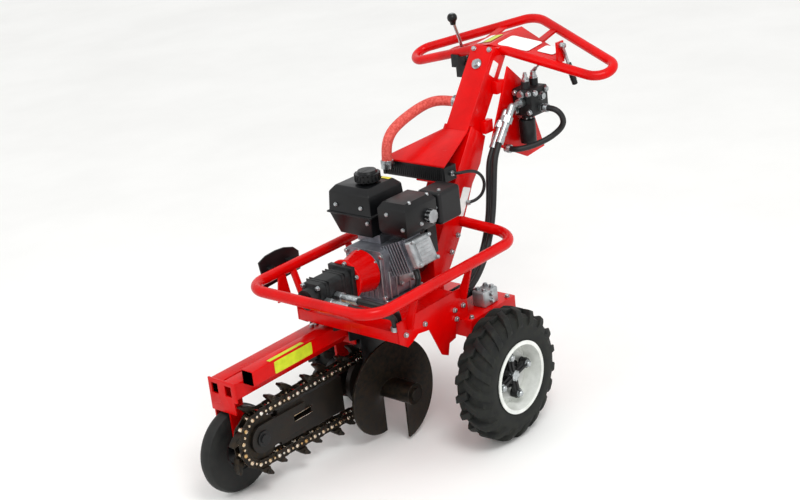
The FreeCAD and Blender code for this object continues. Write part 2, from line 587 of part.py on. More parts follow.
# Console and the closed-loop handlebar, with its two drooping arms.
bar_back = (S.bar_apex - S.bar_corner_trim, 0, S.bar_top + 6)
bar_points = [(-455, 55, 1072), (-495, 355, 999), (-560, S.bar_tip, 1016), bar_back,
              (-560, -S.bar_tip, 1016), (-495, -355, 999), (-455, -55, 1072)]
bar_shape, _, _ = tube(bar_points, S.bar_radius, [60, 66, 42, 110, 42, 66, 60], True)
node("handlebar", solid(bar_shape))
column = column.cut(bar_shape)
node("steering_column", solid(column))
sheet_wall = 5
console = []
for sign in (-1, 1):
    ridge = [V(-440, 0, 1087), V(-620, 0, 1103), V(-620, 0, 1103 + sheet_wall), V(-440, 0, 1087 + sheet_wall)]
    eave = [V(-497, sign * 222, 1037), V(-540, sign * 222, 1040), V(-540, sign * 222, 1040 + sheet_wall),
            V(-497, sign * 222, 1037 + sheet_wall)]
    console.append(Part.makeLoft([Part.makePolygon(ridge + ridge[:1]),
                                  Part.makePolygon(eave + eave[:1])], True, True))
tabs = [Part.makeBox(24, 24, 26, V(-456, y - 12, 1058)) for y in (-30, 30)]
tabs += [slab([(-575, 1070), (-575, 1078), (-668, 1098), (-668, 1092)], y, y + 26) for y in (-112, 86)]
lever_slot = Part.makeBox(64, 22, 60, V(-524, -161, 1030))
plate_shape = console[0].multiFuse([console[1], *tabs]).cut(bar_shape).cut(column).cut(lever_slot)
traction_pin = V(-503, 228, 1088)
lever_ear = Part.makeBox(36, 6, 66, V(-521, 222, 1034)).cut(bar_shape)
ear_pin = Part.makeCylinder(4, 16, traction_pin, V(0, 1, 0))
node("console_plate", solid(plate_shape.multiFuse([lever_ear, ear_pin]).removeSplitter()))

# Engine: crankcase with its finned barrel, rocker cover, blower, muffler, tank and air cleaner.
# The barrel leans towards the left side by barrel_lean above level.
crank = V(130, S.crank_y, S.crank_z)
barrel_lean = 21


def lean_out(shape):
    """Turn a shape drawn along +Y from the crank's centre up to the barrel's lean."""
    shape.rotate(V(), V(1, 0, 0), barrel_lean)
    shape.translate(crank)
    return shape


case = Part.makeBox(145, 150, 158, V(60, -105, S.deck_top + 12))
case = case.makeFillet(18, case.Edges[8:12])
foot_plate = Part.makeBox(180, 170, 12, V(45, -115, S.deck_top))
nose_boss = Part.makeCylinder(56, 10, V(205, S.crank_y, S.crank_z), V(1, 0, 0))
fins = [Part.makeBox(100, 3, 98, V(-50, 66 + 11 * k, -50)) for k in range(8)]
barrel_core = Part.makeBox(72, 96, 84, V(-36, 60, -38))
tank_saddle = Part.makeBox(80, 90, 27, V(70, -100, 625))
head_block = lean_out(barrel_core.multiFuse(fins))
node("engine_block", solid(case.multiFuse([foot_plate, nose_boss, tank_saddle, head_block]).removeSplitter()))
cover = Part.makeBox(92, 28, 86, V(-46, 156, -46))
cover = cover.makeFillet(9, cover.Edges).fuse(Part.makeBox(60, 6, 56, V(-30, 183, -31)))
node("rocker_cover", solid(lean_out(cover)))
case_rear = 60
fan_case = Part.makeCylinder(88, case_rear - 14, V(14, S.crank_y, S.crank_z), V(1, 0, 0))
recoil = Part.makeCone(62, 74, 16, V(-2, S.crank_y, S.crank_z), V(1, 0, 0))
duct = Part.makeBox(40, 84, 93, V(14, 12, 571))
pull_boss = Part.makeBox(20, 30, 24, V(24, -118, 598))
node("blower_housing", solid(fan_case.multiFuse([recoil, duct, pull_boss]).removeSplitter()))
muffler = Part.makeBox(104, 88, 102, V(-70, 48, 664))
node("muffler", solid(muffler.makeFillet(12, muffler.Edges)))


def block_loft(levels):
    """A moulded box: rectangles (x0, x1, y0, y1, z) joined level by level."""
    wires = []
    for x0, x1, y0, y1, z in levels:
        ends = [V(x0, y0, z), V(x1, y0, z), V(x1, y1, z), V(x0, y1, z)]
        wires.append(Part.makePolygon(ends + ends[:1]))
    return Part.makeLoft(wires, True, True)


lower = block_loft([(44, 178, -142, -14, 652), (26, 186, -172, -4, 716)])
upper = block_loft([(26, 186, -172, -4, 722), (30, 182, -168, -8, 782), (48, 166, -152, -24, 800)])
flange = Part.makeBox(172, 180, 6, V(20, -178, 716))
cap_at = V(109, -70, 806.3)
neck = Part.makeCylinder(26, 12, cap_at - V(0, 0, 12.3))
node("fuel_tank", solid(lower.multiFuse([upper, flange, neck]).removeSplitter()))
cap = Part.makeCylinder(40, 24, cap_at).fuse(Part.makeCylinder(32, 8, cap_at + V(0, 0, 24)))
node("fuel_cap", solid(cap.removeSplitter()))
cleaner = block_loft([(50, 180, 32, 124, 672), (44, 186, 26, 132, 690), (44, 186, 26, 132, 756),
                      (58, 172, 38, 120, 774)])
knob = Part.makeCylinder(21, 15, V(80, 132, 712), V(0, 1, 0))
carb = Part.makeBox(50, 34, 63.5, V(66, 60, 608.5))
node("air_cleaner", solid(cleaner), solid(knob), solid(carb.cut(head_block)))
grip = Part.makeCylinder(9, 50, V(9, -133, 610), V(1, 0, 0)).fuse(
    Part.makeCylinder(7, 14.7, V(34, -133, 610), V(0, 1, 0)))
node("recoil_grip", solid(grip))

# Pump drive: the bell housing on the engine's front face and the gear pump on the bell.
bell = Part.makeCone(66, 50, 75, V(215, S.crank_y, S.crank_z), V(1, 0, 0))
bell = bell.fuse(Part.makeCylinder(62, 10, V(290, S.crank_y, S.crank_z), V(1, 0, 0)))
node("bell_housing", solid(bell.removeSplitter()))
gear_half, gear_rise, gear_end = 38, 41, 440
gear_case = Part.makeBox(gear_end - 316, 2 * gear_half, 2 * gear_rise,
                         V(316, S.crank_y - gear_half, S.crank_z - gear_rise))
gear_case = gear_case.makeFillet(16, gear_case.Edges[8:12])
front_cap = Part.makeCylinder(31, 28, V(gear_end, S.crank_y, S.crank_z), V(1, 0, 0))
back_cap = Part.makeBox(16, 92, 100, V(300, S.crank_y - 46, S.crank_z - 50))
node("hydraulic_pump", solid(gear_case.multiFuse([front_cap, back_cap]).removeSplitter()))

# Valves: the main spool valve on its skirt plate beside the column, with its filter, and the
# lift valve below the handlebar.
skirt_y, skirt_wall = 64, 6
skirt = slab([(-437, 1027), (-509, 963), (-602, 719), (-505, 711), (-322, 805)], skirt_y,
    skirt_y + skirt_wall)
returns = [Part.makeBox(40, skirt_y - half_wide, 40, V(x, half_wide, z)) for x, z in ((-420, 950),
    (-345, 842))]
node("valve_bracket", solid(skirt.multiFuse(returns).cut(column).cut(tower).removeSplitter()))
skirt_face = skirt_y + skirt_wall
spool = Part.makeBox(88, 78, 88, V(-534, skirt_face, 865))
spool = spool.makeFillet(7, spool.Edges)
ends = []
for k in range(2):
    ends.append(Part.makeCylinder(14, 22, V(-512 + 44 * k, skirt_face + 40, 952), V(0, 0, 1)))
    ends.append(Part.makeCylinder(11, 14, V(-490, skirt_face + 77, 887 + 38 * k), V(0, 1, 0)))
packer = Part.makeBox(70, 12, 70, V(-525, skirt_face, 872))
node("control_valve", solid(spool.multiFuse([*ends, packer]).removeSplitter()))
can = Part.makeCylinder(26, 78, V(-474, skirt_face + 32, 772)).fuse(
    Part.makeCylinder(16, 16, V(-474, skirt_face + 32, 849)))
node("oil_filter", solid(can.removeSplitter()))
lift_pin = V(-500, -150, 1030)
lift_body = Part.makeBox(44, 44, 52, V(-522, -172, 963))
saddle = Part.makeBox(34, 30, 42, V(-482, -165, 1004))
step = Part.makeBox(10, 30, 12, V(-486, -165, 1004))
clevis = [Part.makeBox(24, 6, 30, V(-512, y, 1013)) for y in (-162, -144)]
lift_shape = lift_body.multiFuse([saddle, step, *clevis]).cut(bar_shape).removeSplitter()
node("lift_valve", solid(lift_shape.cut(Part.makeCylinder(4.05, 40, lift_pin - V(0, 20, 0), V(0, 1, 0)))))
lever_knee = V(-482, -150, 1090)
lever_rod = [bar(lift_pin, lever_knee, 5), bar(lever_knee, V(-456, -150, 1156), 5), Part.makeSphere(5,
    lever_knee)]
ball = Part.makeSphere(16, V(-455, -150, 1166))
pivot = Part.makeCylinder(4, 20, lift_pin - V(0, 10, 0), V(0, 1, 0))
node("lift_lever", solid(pivot.multiFuse([*lever_rod, ball]).removeSplitter()))
hub_at = traction_pin + V(0, 0.3, 0)
lever_hub = Part.makeCylinder(9, 14, hub_at, V(0, 1, 0))
lever_top = hub_at + V(0, 7, 0)
lever_end = V(-557, lever_top.y, 957)
lever_drop = bar(lever_top, lever_end, 5)
sleeve = bar(lever_top + (lever_end - lever_top) * 0.5, lever_end + (lever_end - lever_top) * 0.02, 9)
traction = lever_hub.multiFuse([lever_drop, sleeve]).removeSplitter()
pin_hole = Part.makeCylinder(4.05, 30, traction_pin - V(0, 5, 0), V(0, 1, 0))
node("traction_lever", solid(traction.cut(pin_hole)))
manifold = Part.makeBox(70, 48, 50, V(-105, 168, S.box_top))
hose_block = Part.makeBox(26, 74, 40, V(49, 108, S.deck_top - S.plate - 40))
node("manifold_block", solid(manifold), solid(hose_block))

# Hoses: each one is a tube along a chosen route, with a crimped ferrule at each end.
FERRULES = []


def hose_node(label, points, diameter, first_ferrule, last_ferrule):
    """A hose along its route, with a ferrule of the given length at each end, or none for 0."""
    shape, used, long = tube(points, diameter / 2)
    node(label, solid(shape))
    first, last = V(*points[0]), V(*points[-1])
    for reach, at, way in ((first_ferrule, first, first - V(*points[1])),
                           (last_ferrule, last, last - V(*points[-2]))):
        if reach:
            way.normalize()
            FERRULES.append(Part.makeCylinder(diameter / 2 + S.clamp_wall, reach, at, way))
    print(label, "length", round(long), "radii", used)


# The pressure hoses leave long crimped elbows on the valve and dive under the deck.
ELBOWS = []
for rise, y in ((0, 84), (20, 110)):
    low, high = V(-309, y, 797 + rise), V(-388, y, 893 + rise)
    ELBOWS.append(bar(low, high, 12).multiFuse([Part.makeSphere(12, high),
                                                bar(high, V(-446, y, 893 + rise), 9)]))
hose_node("pressure_hose_1", [
    (-309, 84, 797), (-291, 84, 775), (-277, 86, 745), (-266, 90, 700), (-252, 96, 650), (-234, 102, 600),
    (-210, 106, 550), (-180, 110, 505), (-142, 113, 466), (-96, 116, 440), (-48, 119, 428), (-8, 122, 426),
    (20, 122, 426)], S.hose, 0, 29)
hose_node("pressure_hose_2", [
    (-309, 110, 817), (-291, 110, 795), (-275, 112, 764), (-262, 115, 718), (-246, 120, 664), (-226,
        126, 610),
    (-200, 131, 558), (-168, 136, 512), (-130, 141, 473), (-86, 146, 446), (-42, 150, 431), (-6, 153, 426),
    (20, 153, 426)], S.hose, 0, 29)
hose_node("cooler_hose", [
    (-72, -150, 804), (-74, -150, 832), (-84, -150, 862), (-108, -150, 886), (-148, -150, 902),
    (-196, -149, 914), (-240, -146, 924), (-285, -141, 930), (-313, -125, 932), (-329, -97, 930),
    (-329, -69, 930)], S.sleeve, 26, 26)
ELBOWS.append(bar((-95, -150, 784), (-72 - S.sleeve / 2 - S.clamp_wall, -150, 784), 10))
hose_node("valve_loop_hose", [
    (-490, 175, 887), (-490, 192, 887), (-493, 206, 881), (-498, 216, 869), (-503, 220, 853), (-507,
        217, 836),
    (-507, 207, 820), (-500, 193, 805), (-484, 178, 792), (-460, 163, 783), (-434, 148, 777), (-410,
        131, 774),
    (-392, 112, 772), (-392, 92, 772)], S.hose, 14, 22)
hose_node("pump_hose_1", [
    (424, 98, 545), (424, 122, 545), (417, 145, 541), (401, 164, 533), (380, 176, 521), (359, 181, 511),
    (343, 182, 500), (335, 182, 485), (335, 182, 469)], S.hose, 90, 14)
hose_node("pump_hose_2", [
    (380, 95, 548), (380, 116, 548), (374, 136, 544), (360, 152, 535), (341, 162, 523), (323, 166, 513),
    (309, 167, 501), (302, 167, 485), (302, 167, 469)], S.hose, 87, 14)
node("hose_fittings", *[solid(f) for f in FERRULES + ELBOWS])


def check_and_write():
    """Every object has to be sound before any file is written."""
    doc.recompute()
    bad = []
    for thing in doc.Objects:
        if "Invalid" in thing.State or "Error" in thing.State:
            bad.append(thing.Label + " " + str(thing.State))
    for piece in NODES:
        if piece.Shape.isNull() or not piece.Shape.isValid() or not piece.Shape.Solids:
            bad.append(piece.Label + " has no valid shape")
    if bad:
        raise ValueError("; ".join(bad))
    for piece in NODES:
        piece.Shape.exportStep("parts/%s.step" % piece.Label)
        print(piece.Label, len(piece.Shape.Solids), round(piece.Shape.Volume / 1000), "cm3")


check_and_write()
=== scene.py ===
# %% [markdown]
# # A walk-behind chain trencher
# The machine is a red steel chassis on two lugged tyres, with an engine, a hydraulic pump, a digging
# chain on a lifting boom and a loop handlebar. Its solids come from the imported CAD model, and this
# lesson gives them their finishes and their small parts. Everything is in metres.

# %% Load the machine
import json
import math
import bmesh
import bpy
from mathutils import Matrix, Vector


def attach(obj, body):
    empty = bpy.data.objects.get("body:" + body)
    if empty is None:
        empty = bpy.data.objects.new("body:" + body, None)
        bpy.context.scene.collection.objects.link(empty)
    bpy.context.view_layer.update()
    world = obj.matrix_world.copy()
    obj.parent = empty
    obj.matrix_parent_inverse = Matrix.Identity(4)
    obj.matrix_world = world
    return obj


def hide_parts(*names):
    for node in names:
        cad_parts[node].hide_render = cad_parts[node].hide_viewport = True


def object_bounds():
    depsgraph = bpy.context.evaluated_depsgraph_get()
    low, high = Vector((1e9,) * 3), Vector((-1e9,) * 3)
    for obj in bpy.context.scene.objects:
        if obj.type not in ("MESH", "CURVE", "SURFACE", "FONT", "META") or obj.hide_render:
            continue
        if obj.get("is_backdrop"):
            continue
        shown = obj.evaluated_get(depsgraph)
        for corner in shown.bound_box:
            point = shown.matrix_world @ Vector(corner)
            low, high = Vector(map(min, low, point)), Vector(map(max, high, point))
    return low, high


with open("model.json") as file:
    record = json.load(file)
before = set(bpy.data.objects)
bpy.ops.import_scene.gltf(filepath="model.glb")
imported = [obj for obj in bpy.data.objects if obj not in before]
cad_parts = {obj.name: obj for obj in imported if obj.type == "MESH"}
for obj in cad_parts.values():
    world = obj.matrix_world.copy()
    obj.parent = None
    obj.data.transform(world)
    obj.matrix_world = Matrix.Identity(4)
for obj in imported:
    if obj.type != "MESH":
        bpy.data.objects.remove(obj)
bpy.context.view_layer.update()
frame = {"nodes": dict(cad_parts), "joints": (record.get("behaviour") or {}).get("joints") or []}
joints = {j["name"]: j for j in frame["joints"]}
SHIFT = joints["left_wheel_spin"]["pos_m"][0]


def at(x, y, z):
    """A point given in millimetres from the drive axle, as a vector in metres."""
    return Vector((x / 1000 + SHIFT, y / 1000, z / 1000))


# %% [markdown]
# ## Camera and light
# A product picture of a machine is taken from far off with a long lens, so that its upright parts
# stay upright. The camera's place and turn are given as three angles, and its matrix is built from
# them, because an aimed camera would lose the slight roll. A pale world and two large soft lamps
# give the even light of a studio.

# %% Camera
yaw, pitch, roll = 0.739, 0.358, -0.112
forward = Vector((-math.cos(yaw) * math.cos(pitch), -math.sin(yaw) * math.cos(pitch), -math.sin(pitch)))
right = forward.cross(Vector((0, 0, 1))).normalized()
upward = right.cross(forward)
right, upward = (math.cos(roll) * right + math.sin(roll) * upward,
                 -math.sin(roll) * right + math.cos(roll) * upward)
camera = bpy.data.objects.new("camera", bpy.data.cameras.new("camera"))
camera.data.lens = 65.07
camera.data.sensor_width = 36
camera.data.clip_end = 100
camera.matrix_world = Matrix((right, upward, -forward)).transposed().to_4x4()
camera.location = at(3103.9, 2756.3, 2113.0)
bpy.context.scene.collection.objects.link(camera)
bpy.context.scene.camera = camera
print("camera", [round(v, 2) for v in camera.location])

# %% Light
bpy.context.scene.view_settings.view_transform = "Standard"
world = bpy.data.worlds.new("studio")
world.use_nodes = True
world.node_tree.nodes["Background"].inputs["Color"].default_value = (1, 1, 1, 1)
world.node_tree.nodes["Background"].inputs["Strength"].default_value = 0.98
bpy.context.scene.world = world
LAMPS = (("key_lamp", (1.2, 2.0, 3.6), 62, 1.4), ("fill_lamp", (3.4, -1.2, 2.2), 14, 2.6))
LIT_POINT = Vector((0, 0, 0.5))
for name, place, power, size in LAMPS:
    lamp = bpy.data.objects.new(name, bpy.data.lights.new(name, "AREA"))
    lamp.data.energy = power
    lamp.data.size = size
    lamp.location = place
    lamp.rotation_euler = (LIT_POINT - Vector(place)).to_track_quat("-Z", "Y").to_euler()
    bpy.context.scene.collection.objects.link(lamp)
print(len(LAMPS), "soft lamps and a pale world")

# %% [markdown]
# ## Finishes
# Each finish starts as one Principled shader. One function adds a node with its settings and links,
# so a finish reads as a short list: what gives the colour, what gives the gloss and what gives the
# relief. Pattern sizes are real sizes in millimetres, turned to a scale by one over metres.


# %% Helpers for finishes
def linear(hex_colour):
    """An sRGB colour such as 'c81410' as linear red, green, blue and one."""
    parts = [int(hex_colour[i:i + 2], 16) / 255 for i in (0, 2, 4)]
    return [p / 12.92 if p <= 0.04045 else ((p + 0.055) / 1.055) ** 2.4 for p in parts] + [1.0]


def add(finish, kind, settings=None, **links):
    """Add one node to a finish, set its properties and inputs, and link its inputs. A link is named
    for its input, or for the input's number after an underscore, as _0."""
    item = finish.node_tree.nodes.new(kind)
    for key, value in (settings or {}).items():
        if key in item.inputs:
            item.inputs[key].default_value = value
        else:
            setattr(item, key, value)
    for key, source in links.items():
        place = item.inputs[int(key[1:])] if key[1:].isdigit() else item.inputs[key.replace("_", " ")]
        finish.node_tree.links.new(source, place)
    return item


def per_mm(size):
    """The scale of a pattern whose features are about this many millimetres across."""
    return 1000 / size


CLOUD_SPAN = (0.36, 0.66)   # the part of the noise over which one colour turns to the other
WORN_SPAN = (0.985, 0.90)   # the rounded normal dot the true one, where wear starts and is full
WORN_MOST = 0.55            # the share of the rubbed colour where the wear is full
CORNER = 0.0012             # the radius that the shading gives a sharp corner
COAT_ROUGH = 0.12           # a clear coat is glossier than the paint under it


def finish_of(name, colours, blotch, rough, grain, relief, metallic=0.0, edge=None, shine=0.5, coat=0.0):
    """A solid finish: two colours in blotches, a gloss that varies between two roughnesses, and a
    fine relief. blotch, grain and relief are in millimetres, and edge is a colour that shows where
    corners have rubbed."""
    finish = bpy.data.materials.new(name)
    finish.use_nodes = True
    shader = finish.node_tree.nodes["Principled BSDF"]
    shader.inputs["Metallic"].default_value = metallic
    shader.inputs["Coat Weight"].default_value = coat
    shader.inputs["Specular IOR Level"].default_value = shine
    shader.inputs["Coat Roughness"].default_value = COAT_ROUGH
    where = add(finish, "ShaderNodeTexCoord").outputs["Object"]
    clouds = add(finish, "ShaderNodeTexNoise", {"Scale": per_mm(blotch), "Detail": 5.0, "Roughness": 0.6},
                 Vector=where).outputs["Fac"]
    share = add(finish, "ShaderNodeMapRange", {"From Min": CLOUD_SPAN[0], "From Max": CLOUD_SPAN[1]},
                Value=clouds).outputs["Result"]
    colour = add(finish, "ShaderNodeMix", {"data_type": "RGBA", "blend_type": "MIX"}, _0=share)
    colour.inputs[6].default_value = linear(colours[0])
    colour.inputs[7].default_value = linear(colours[1])
    colour = colour.outputs[2]
    gloss = add(finish, "ShaderNodeMapRange", {"To Min": rough[0], "To Max": rough[1]},
                Value=clouds).outputs["Result"]
    round_edge = add(finish, "ShaderNodeBevel", {"samples": 4, "Radius": CORNER}).outputs["Normal"]
    if edge:
        true = add(finish, "ShaderNodeNewGeometry").outputs["Normal"]
        facing = add(finish, "ShaderNodeVectorMath", {"operation": "DOT_PRODUCT"}, _0=round_edge, _1=true)
        worn = add(finish, "ShaderNodeMapRange",
                   {"From Min": WORN_SPAN[0], "From Max": WORN_SPAN[1], "To Max": WORN_MOST},
                   Value=facing.outputs["Value"]).outputs["Result"]
        broken = add(finish, "ShaderNodeMath", {"operation": "MULTIPLY"}, _0=worn, _1=share).outputs[0]
        rubbed = add(finish, "ShaderNodeMix", {"data_type": "RGBA"}, _0=broken, _6=colour)
        rubbed.inputs[7].default_value = linear(edge)
        colour = rubbed.outputs[2]
    fine = add(finish, "ShaderNodeTexNoise", {"Scale": per_mm(grain), "Detail": 3.0},
               Vector=where).outputs["Fac"]
    bump = add(finish, "ShaderNodeBump", {"Strength": 0.35, "Distance": relief / 1000}, Height=fine,
               Normal=round_edge).outputs["Normal"]
    for socket, source in (("Base Color", colour), ("Roughness", gloss), ("Normal", bump)):
        finish.node_tree.links.new(source, shader.inputs[socket])
    return finish


# %% [markdown]
# ### What each finish is
# Powder-coated steel has a slight orange peel about 3 mm across and stays glossy. Rubber is dull,
# with dusty lighter patches. Cast aluminium is grainy, zinc plate is smooth and faintly mottled,
# and the digging chain is oily dark steel with brown earth in it. The boom's hot-rolled steel is
# dull and brown, and its pins are rubbed bright. Moulded nylon has a fine spark grain, drawn here at
# 1.5 mm so that it shows. A woven sleeve has a coarse matt weave, and vinyl is smooth and even.

# %% Finishes
enamel_red = finish_of("powder_coated_steel_red", ("d60101", "b60101"), 160, (0.20, 0.33), 3, 0.10,
                       edge="4f0605", shine=0.16, coat=0.03)
enamel_dark = finish_of("powder_coated_steel_black", ("0a0b0c", "141517"), 60, (0.30, 0.48), 2.5, 0.15,
                        edge="434341", shine=0.3)
wheel_white = finish_of("stove_enamelled_steel_white", ("eceeea", "d6d9d3"), 45, (0.22, 0.38), 3, 0.08,
                        edge="a9a8a2", coat=0.2)
tyre_rubber = finish_of("moulded_tyre_rubber", ("121414", "22241f"), 28, (0.62, 0.85), 2, 0.35, edge="3a3933",
                        shine=0.3)
solid_rubber = finish_of("solid_wheel_rubber", ("0f1010", "1c1d1b"), 22, (0.5, 0.75), 2, 0.3, edge="3a3a36",
                         shine=0.35)
chain_steel = finish_of("oiled_forged_steel", ("1b1a18", "33291d"), 14, (0.28, 0.62), 2, 0.5, 0.75,
                        edge="8b857a")
boom_steel = finish_of("hot_rolled_steel_brown", ("171411", "241d15"), 55, (0.38, 0.62), 3, 0.3, 0.3,
                       edge="544c40", shine=0.4)
pin_steel = finish_of("worn_pin_steel", ("f2efe6", "c9a36a"), 38, (0.16, 0.34), 2, 0.08, 1.0)
zinc = finish_of("zinc_plated_steel", ("c3c8ca", "93989a"), 9, (0.2, 0.4), 1.5, 0.08, 1.0)
cast_aluminium = finish_of("die_cast_aluminium", ("c0c4c6", "9a9ea0"), 40, (0.34, 0.6), 1.5, 0.35, 0.85,
                           edge="e3e4e2")
# The crankcase's darker, purplish second colour is painted shade: its blotches mix a lit and a shaded silver.
crank_grey_painted_shade = finish_of("cast_crankcase_grey_painted_shade", ("989ba2", "66666e"), 60, (0.30, 0.6), 2, 0.4, 0.7,
                       edge="d5d6d8")
moulded_black = finish_of("moulded_nylon_black", ("060708", "0c0d0f"), 40, (0.26, 0.42), 1.5, 0.18,
                          edge="242527", shine=0.27)
pump_black = finish_of("painted_cast_iron_black", ("0e0f10", "212324"), 18, (0.35, 0.6), 1.8, 0.4, 0.3,
                       edge="5a5a58", shine=0.4)
hose_rubber = finish_of("wrapped_hose_rubber", ("0d0e0f", "1b1c1c"), 16, (0.42, 0.62), 1.6, 0.3, shine=0.4)
sleeve_red = finish_of("woven_guard_sleeve_red", ("e0645a", "b8382f"), 7, (0.55, 0.75), 2.2, 1.2, shine=0.3)
label_white = finish_of("vinyl_label_white", ("f4f5f3", "e6e8e6"), 30, (0.25, 0.4), 6, 0.05)
label_lime = finish_of("vinyl_label_lime", ("d2de2e", "bccb1f"), 26, (0.25, 0.4), 6, 0.05, shine=0.3)
label_yellow = finish_of("vinyl_label_yellow", ("ece23c", "d8cc28"), 22, (0.25, 0.4), 6, 0.05, shine=0.3)
floor_grey = finish_of("studio_floor_matt", ("f7f7f5", "f2f2f0"), 900, (0.75, 0.9), 5, 0.02)
print(len(bpy.data.materials), "finishes")


# %% [markdown]
# ## Making pieces
# Each new piece is a small mesh made with bmesh operators, then turned into an object that sits at
# the origin and rides on a body of the machine. Smooth shading is kept off the sharp corners.


# %% Helpers for pieces
def piece(name, bm, body, finish, smooth=35, recalculate=False):
    """Turn a bmesh in the machine's frame into a finished piece that rides on a body."""
    if recalculate:
        bmesh.ops.remove_doubles(bm, verts=bm.verts, dist=1e-6)
        bmesh.ops.recalc_face_normals(bm, faces=bm.faces)
    mesh = bpy.data.meshes.new(name)
    bm.to_mesh(mesh)
    bm.free()
    mesh.shade_smooth()
    mesh.set_sharp_from_angle(angle=math.radians(smooth))
    mesh.materials.append(finish)
    obj = bpy.data.objects.new(name, mesh)
    bpy.context.scene.collection.objects.link(obj)
    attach(obj, body)
    return obj


def turned_to(point, way):
    """The matrix that stands a shape's Z axis along a direction at a point."""
    return Matrix.Translation(point) @ Vector(way).normalized().to_track_quat("Z", "Y").to_matrix().to_4x4()


def add_turned(bm, point, way, radius, height, sides=24, top=None):
    """Add a round or many-sided bar that starts at a point and runs along a direction, in metres.
    top is the radius of its far end, where that differs."""
    centre = turned_to(point, way) @ Matrix.Translation((0, 0, height / 2))
    bmesh.ops.create_cone(bm, cap_ends=True, segments=sides, radius1=radius,
                          radius2=radius if top is None else top, depth=height, matrix=centre)


def add_block(bm, low, high, bevel=0.0):
    """Add a block between two corners, with rounded edges."""
    size = high - low
    made = bmesh.ops.create_cube(bm, size=1, matrix=Matrix.Translation((low + high) / 2) @ Matrix.Diagonal(
        (abs(size.x), abs(size.y), abs(size.z), 1)))
    if bevel:
        edges = list({e for v in made["verts"] for e in v.link_edges})
        bmesh.ops.bevel(bm, geom=edges, offset=bevel, segments=2, profile=0.5, affect="EDGES", material=-1)


WASHER, WASHER_TOP = 0.0018, 0.0017   # a washer's thickness, and where the head starts, just inside it
OVERLAP = 0.0001                      # how far the head's crown starts inside its hexagon


def bolts(name, body, places, across=13.0, height=6.0, finish=zinc):
    """Hexagon heads with washers, by their width across flats and height in millimetres: places is
    a list of (point, direction)."""
    bm = bmesh.new()
    hexagon = height * 0.75 / 1000
    for point, way in places:
        add_turned(bm, point, way, across * 0.62 / 1000, WASHER, 20)
        lift = point + Vector(way).normalized() * WASHER_TOP
        add_turned(bm, lift, way, across / math.sqrt(3) / 1000, hexagon, 6)
        crown = point + Vector(way).normalized() * (WASHER_TOP + hexagon - OVERLAP)
        add_turned(bm, crown, way, across / 2.1 / 1000, height * 0.25 / 1000, 18, across / 2.6 / 1000)
    return piece(name, bm, body, finish, 30)


SHARP = 28   # degrees between two faces, past which the edge between them is rounded


def rounded_copy(node, body, finish, width):
    """Stand in for a CAD node with a copy whose sharp edges are rounded by a width in millimetres,
    as rolled or moulded ones are."""
    bm = bmesh.new()
    bm.from_mesh(frame["nodes"][node].data)
    bmesh.ops.remove_doubles(bm, verts=bm.verts, dist=2e-6)
    bmesh.ops.dissolve_limit(bm, angle_limit=math.radians(0.8), verts=bm.verts, edges=bm.edges)
    sharp = [e for e in bm.edges if len(e.link_faces) == 2 and e.calc_face_angle() > math.radians(SHARP)]
    bmesh.ops.bevel(bm, geom=sharp, offset=width / 1000, segments=3, profile=0.5, affect="EDGES",
                    clamp_overlap=True, material=-1)
    obj = piece(node + "_finished", bm, body, finish, 40)
    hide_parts(node)


# %% [markdown]
# ## Hoses
# The hydraulic hoses are wire-braided rubber, stiff and fixed at both ends, so each one springs out
# of its fitting and swings round in one smooth curve. A NURBS curve through a few chosen points
# gives that, where a poly-line would look like bent wire. The cooler's hose wears a red woven
# guard sleeve. The thin drain hose has no solid in the CAD model, so it stands in for none. Each
# entry gives a route's points and the outside diameter in millimetres, and the length in metres.

# %% Hoses
HOSE, SLEEVE, THIN = 19, 33, 10
ROUTES = {
    "pressure_hose_1": ([
        (-309, 84, 797), (-291, 84, 775), (-277, 86, 745), (-266, 90, 700), (-252, 96, 650), (-234, 102, 600),
        (-210, 106, 550), (-180, 110, 505), (-142, 113, 466), (-96, 116, 440), (-48, 119, 428),
        (-8, 122, 426), (20, 122, 426)], HOSE, 0.548),
    "pressure_hose_2": ([
        (-309, 110, 817), (-291, 110, 795), (-275, 112, 764), (-262, 115, 718), (-246, 120, 664),
        (-226, 126, 610), (-200, 131, 558), (-168, 136, 512), (-130, 141, 473), (-86, 146, 446),
        (-42, 150, 431), (-6, 153, 426), (20, 153, 426)], HOSE, 0.555),
    "cooler_hose": ([
        (-72, -150, 804), (-74, -150, 832), (-84, -150, 862), (-108, -150, 886), (-148, -150, 902),
        (-196, -149, 914), (-240, -146, 924), (-285, -141, 930), (-313, -125, 932), (-329, -97, 930),
        (-329, -69, 930)], SLEEVE, 0.367),
    "valve_loop_hose": ([
        (-490, 175, 887), (-490, 192, 887), (-493, 206, 881), (-498, 216, 869), (-503, 220, 853),
        (-507, 217, 836), (-507, 207, 820), (-500, 193, 805), (-484, 178, 792), (-460, 163, 783),
        (-434, 148, 777), (-410, 131, 774), (-392, 112, 772), (-392, 92, 772)], HOSE, 0.283),
    "pump_hose_1": ([
        (424, 98, 545), (424, 122, 545), (417, 145, 541), (401, 164, 533), (380, 176, 521), (359, 181, 511),
        (343, 182, 500), (335, 182, 485), (335, 182, 469)], HOSE, 0.176),
    "pump_hose_2": ([
        (380, 95, 548), (380, 116, 548), (374, 136, 544), (360, 152, 535), (341, 162, 523), (323, 166, 513),
        (309, 167, 501), (302, 167, 485), (302, 167, 469)], HOSE, 0.161),
}
THIN_ROUTES = {
    "drain_hose": ([
        (-122, 60.5, 772), (-124, 78, 772), (-138, 92, 773), (-166, 98, 770), (-200, 99, 757),
        (-228, 97, 732), (-242, 92, 702), (-238, 84, 672), (-222, 72, 656), (-204, 60, 651),
        (-196, 50.5, 650)], THIN, 0.260),
}
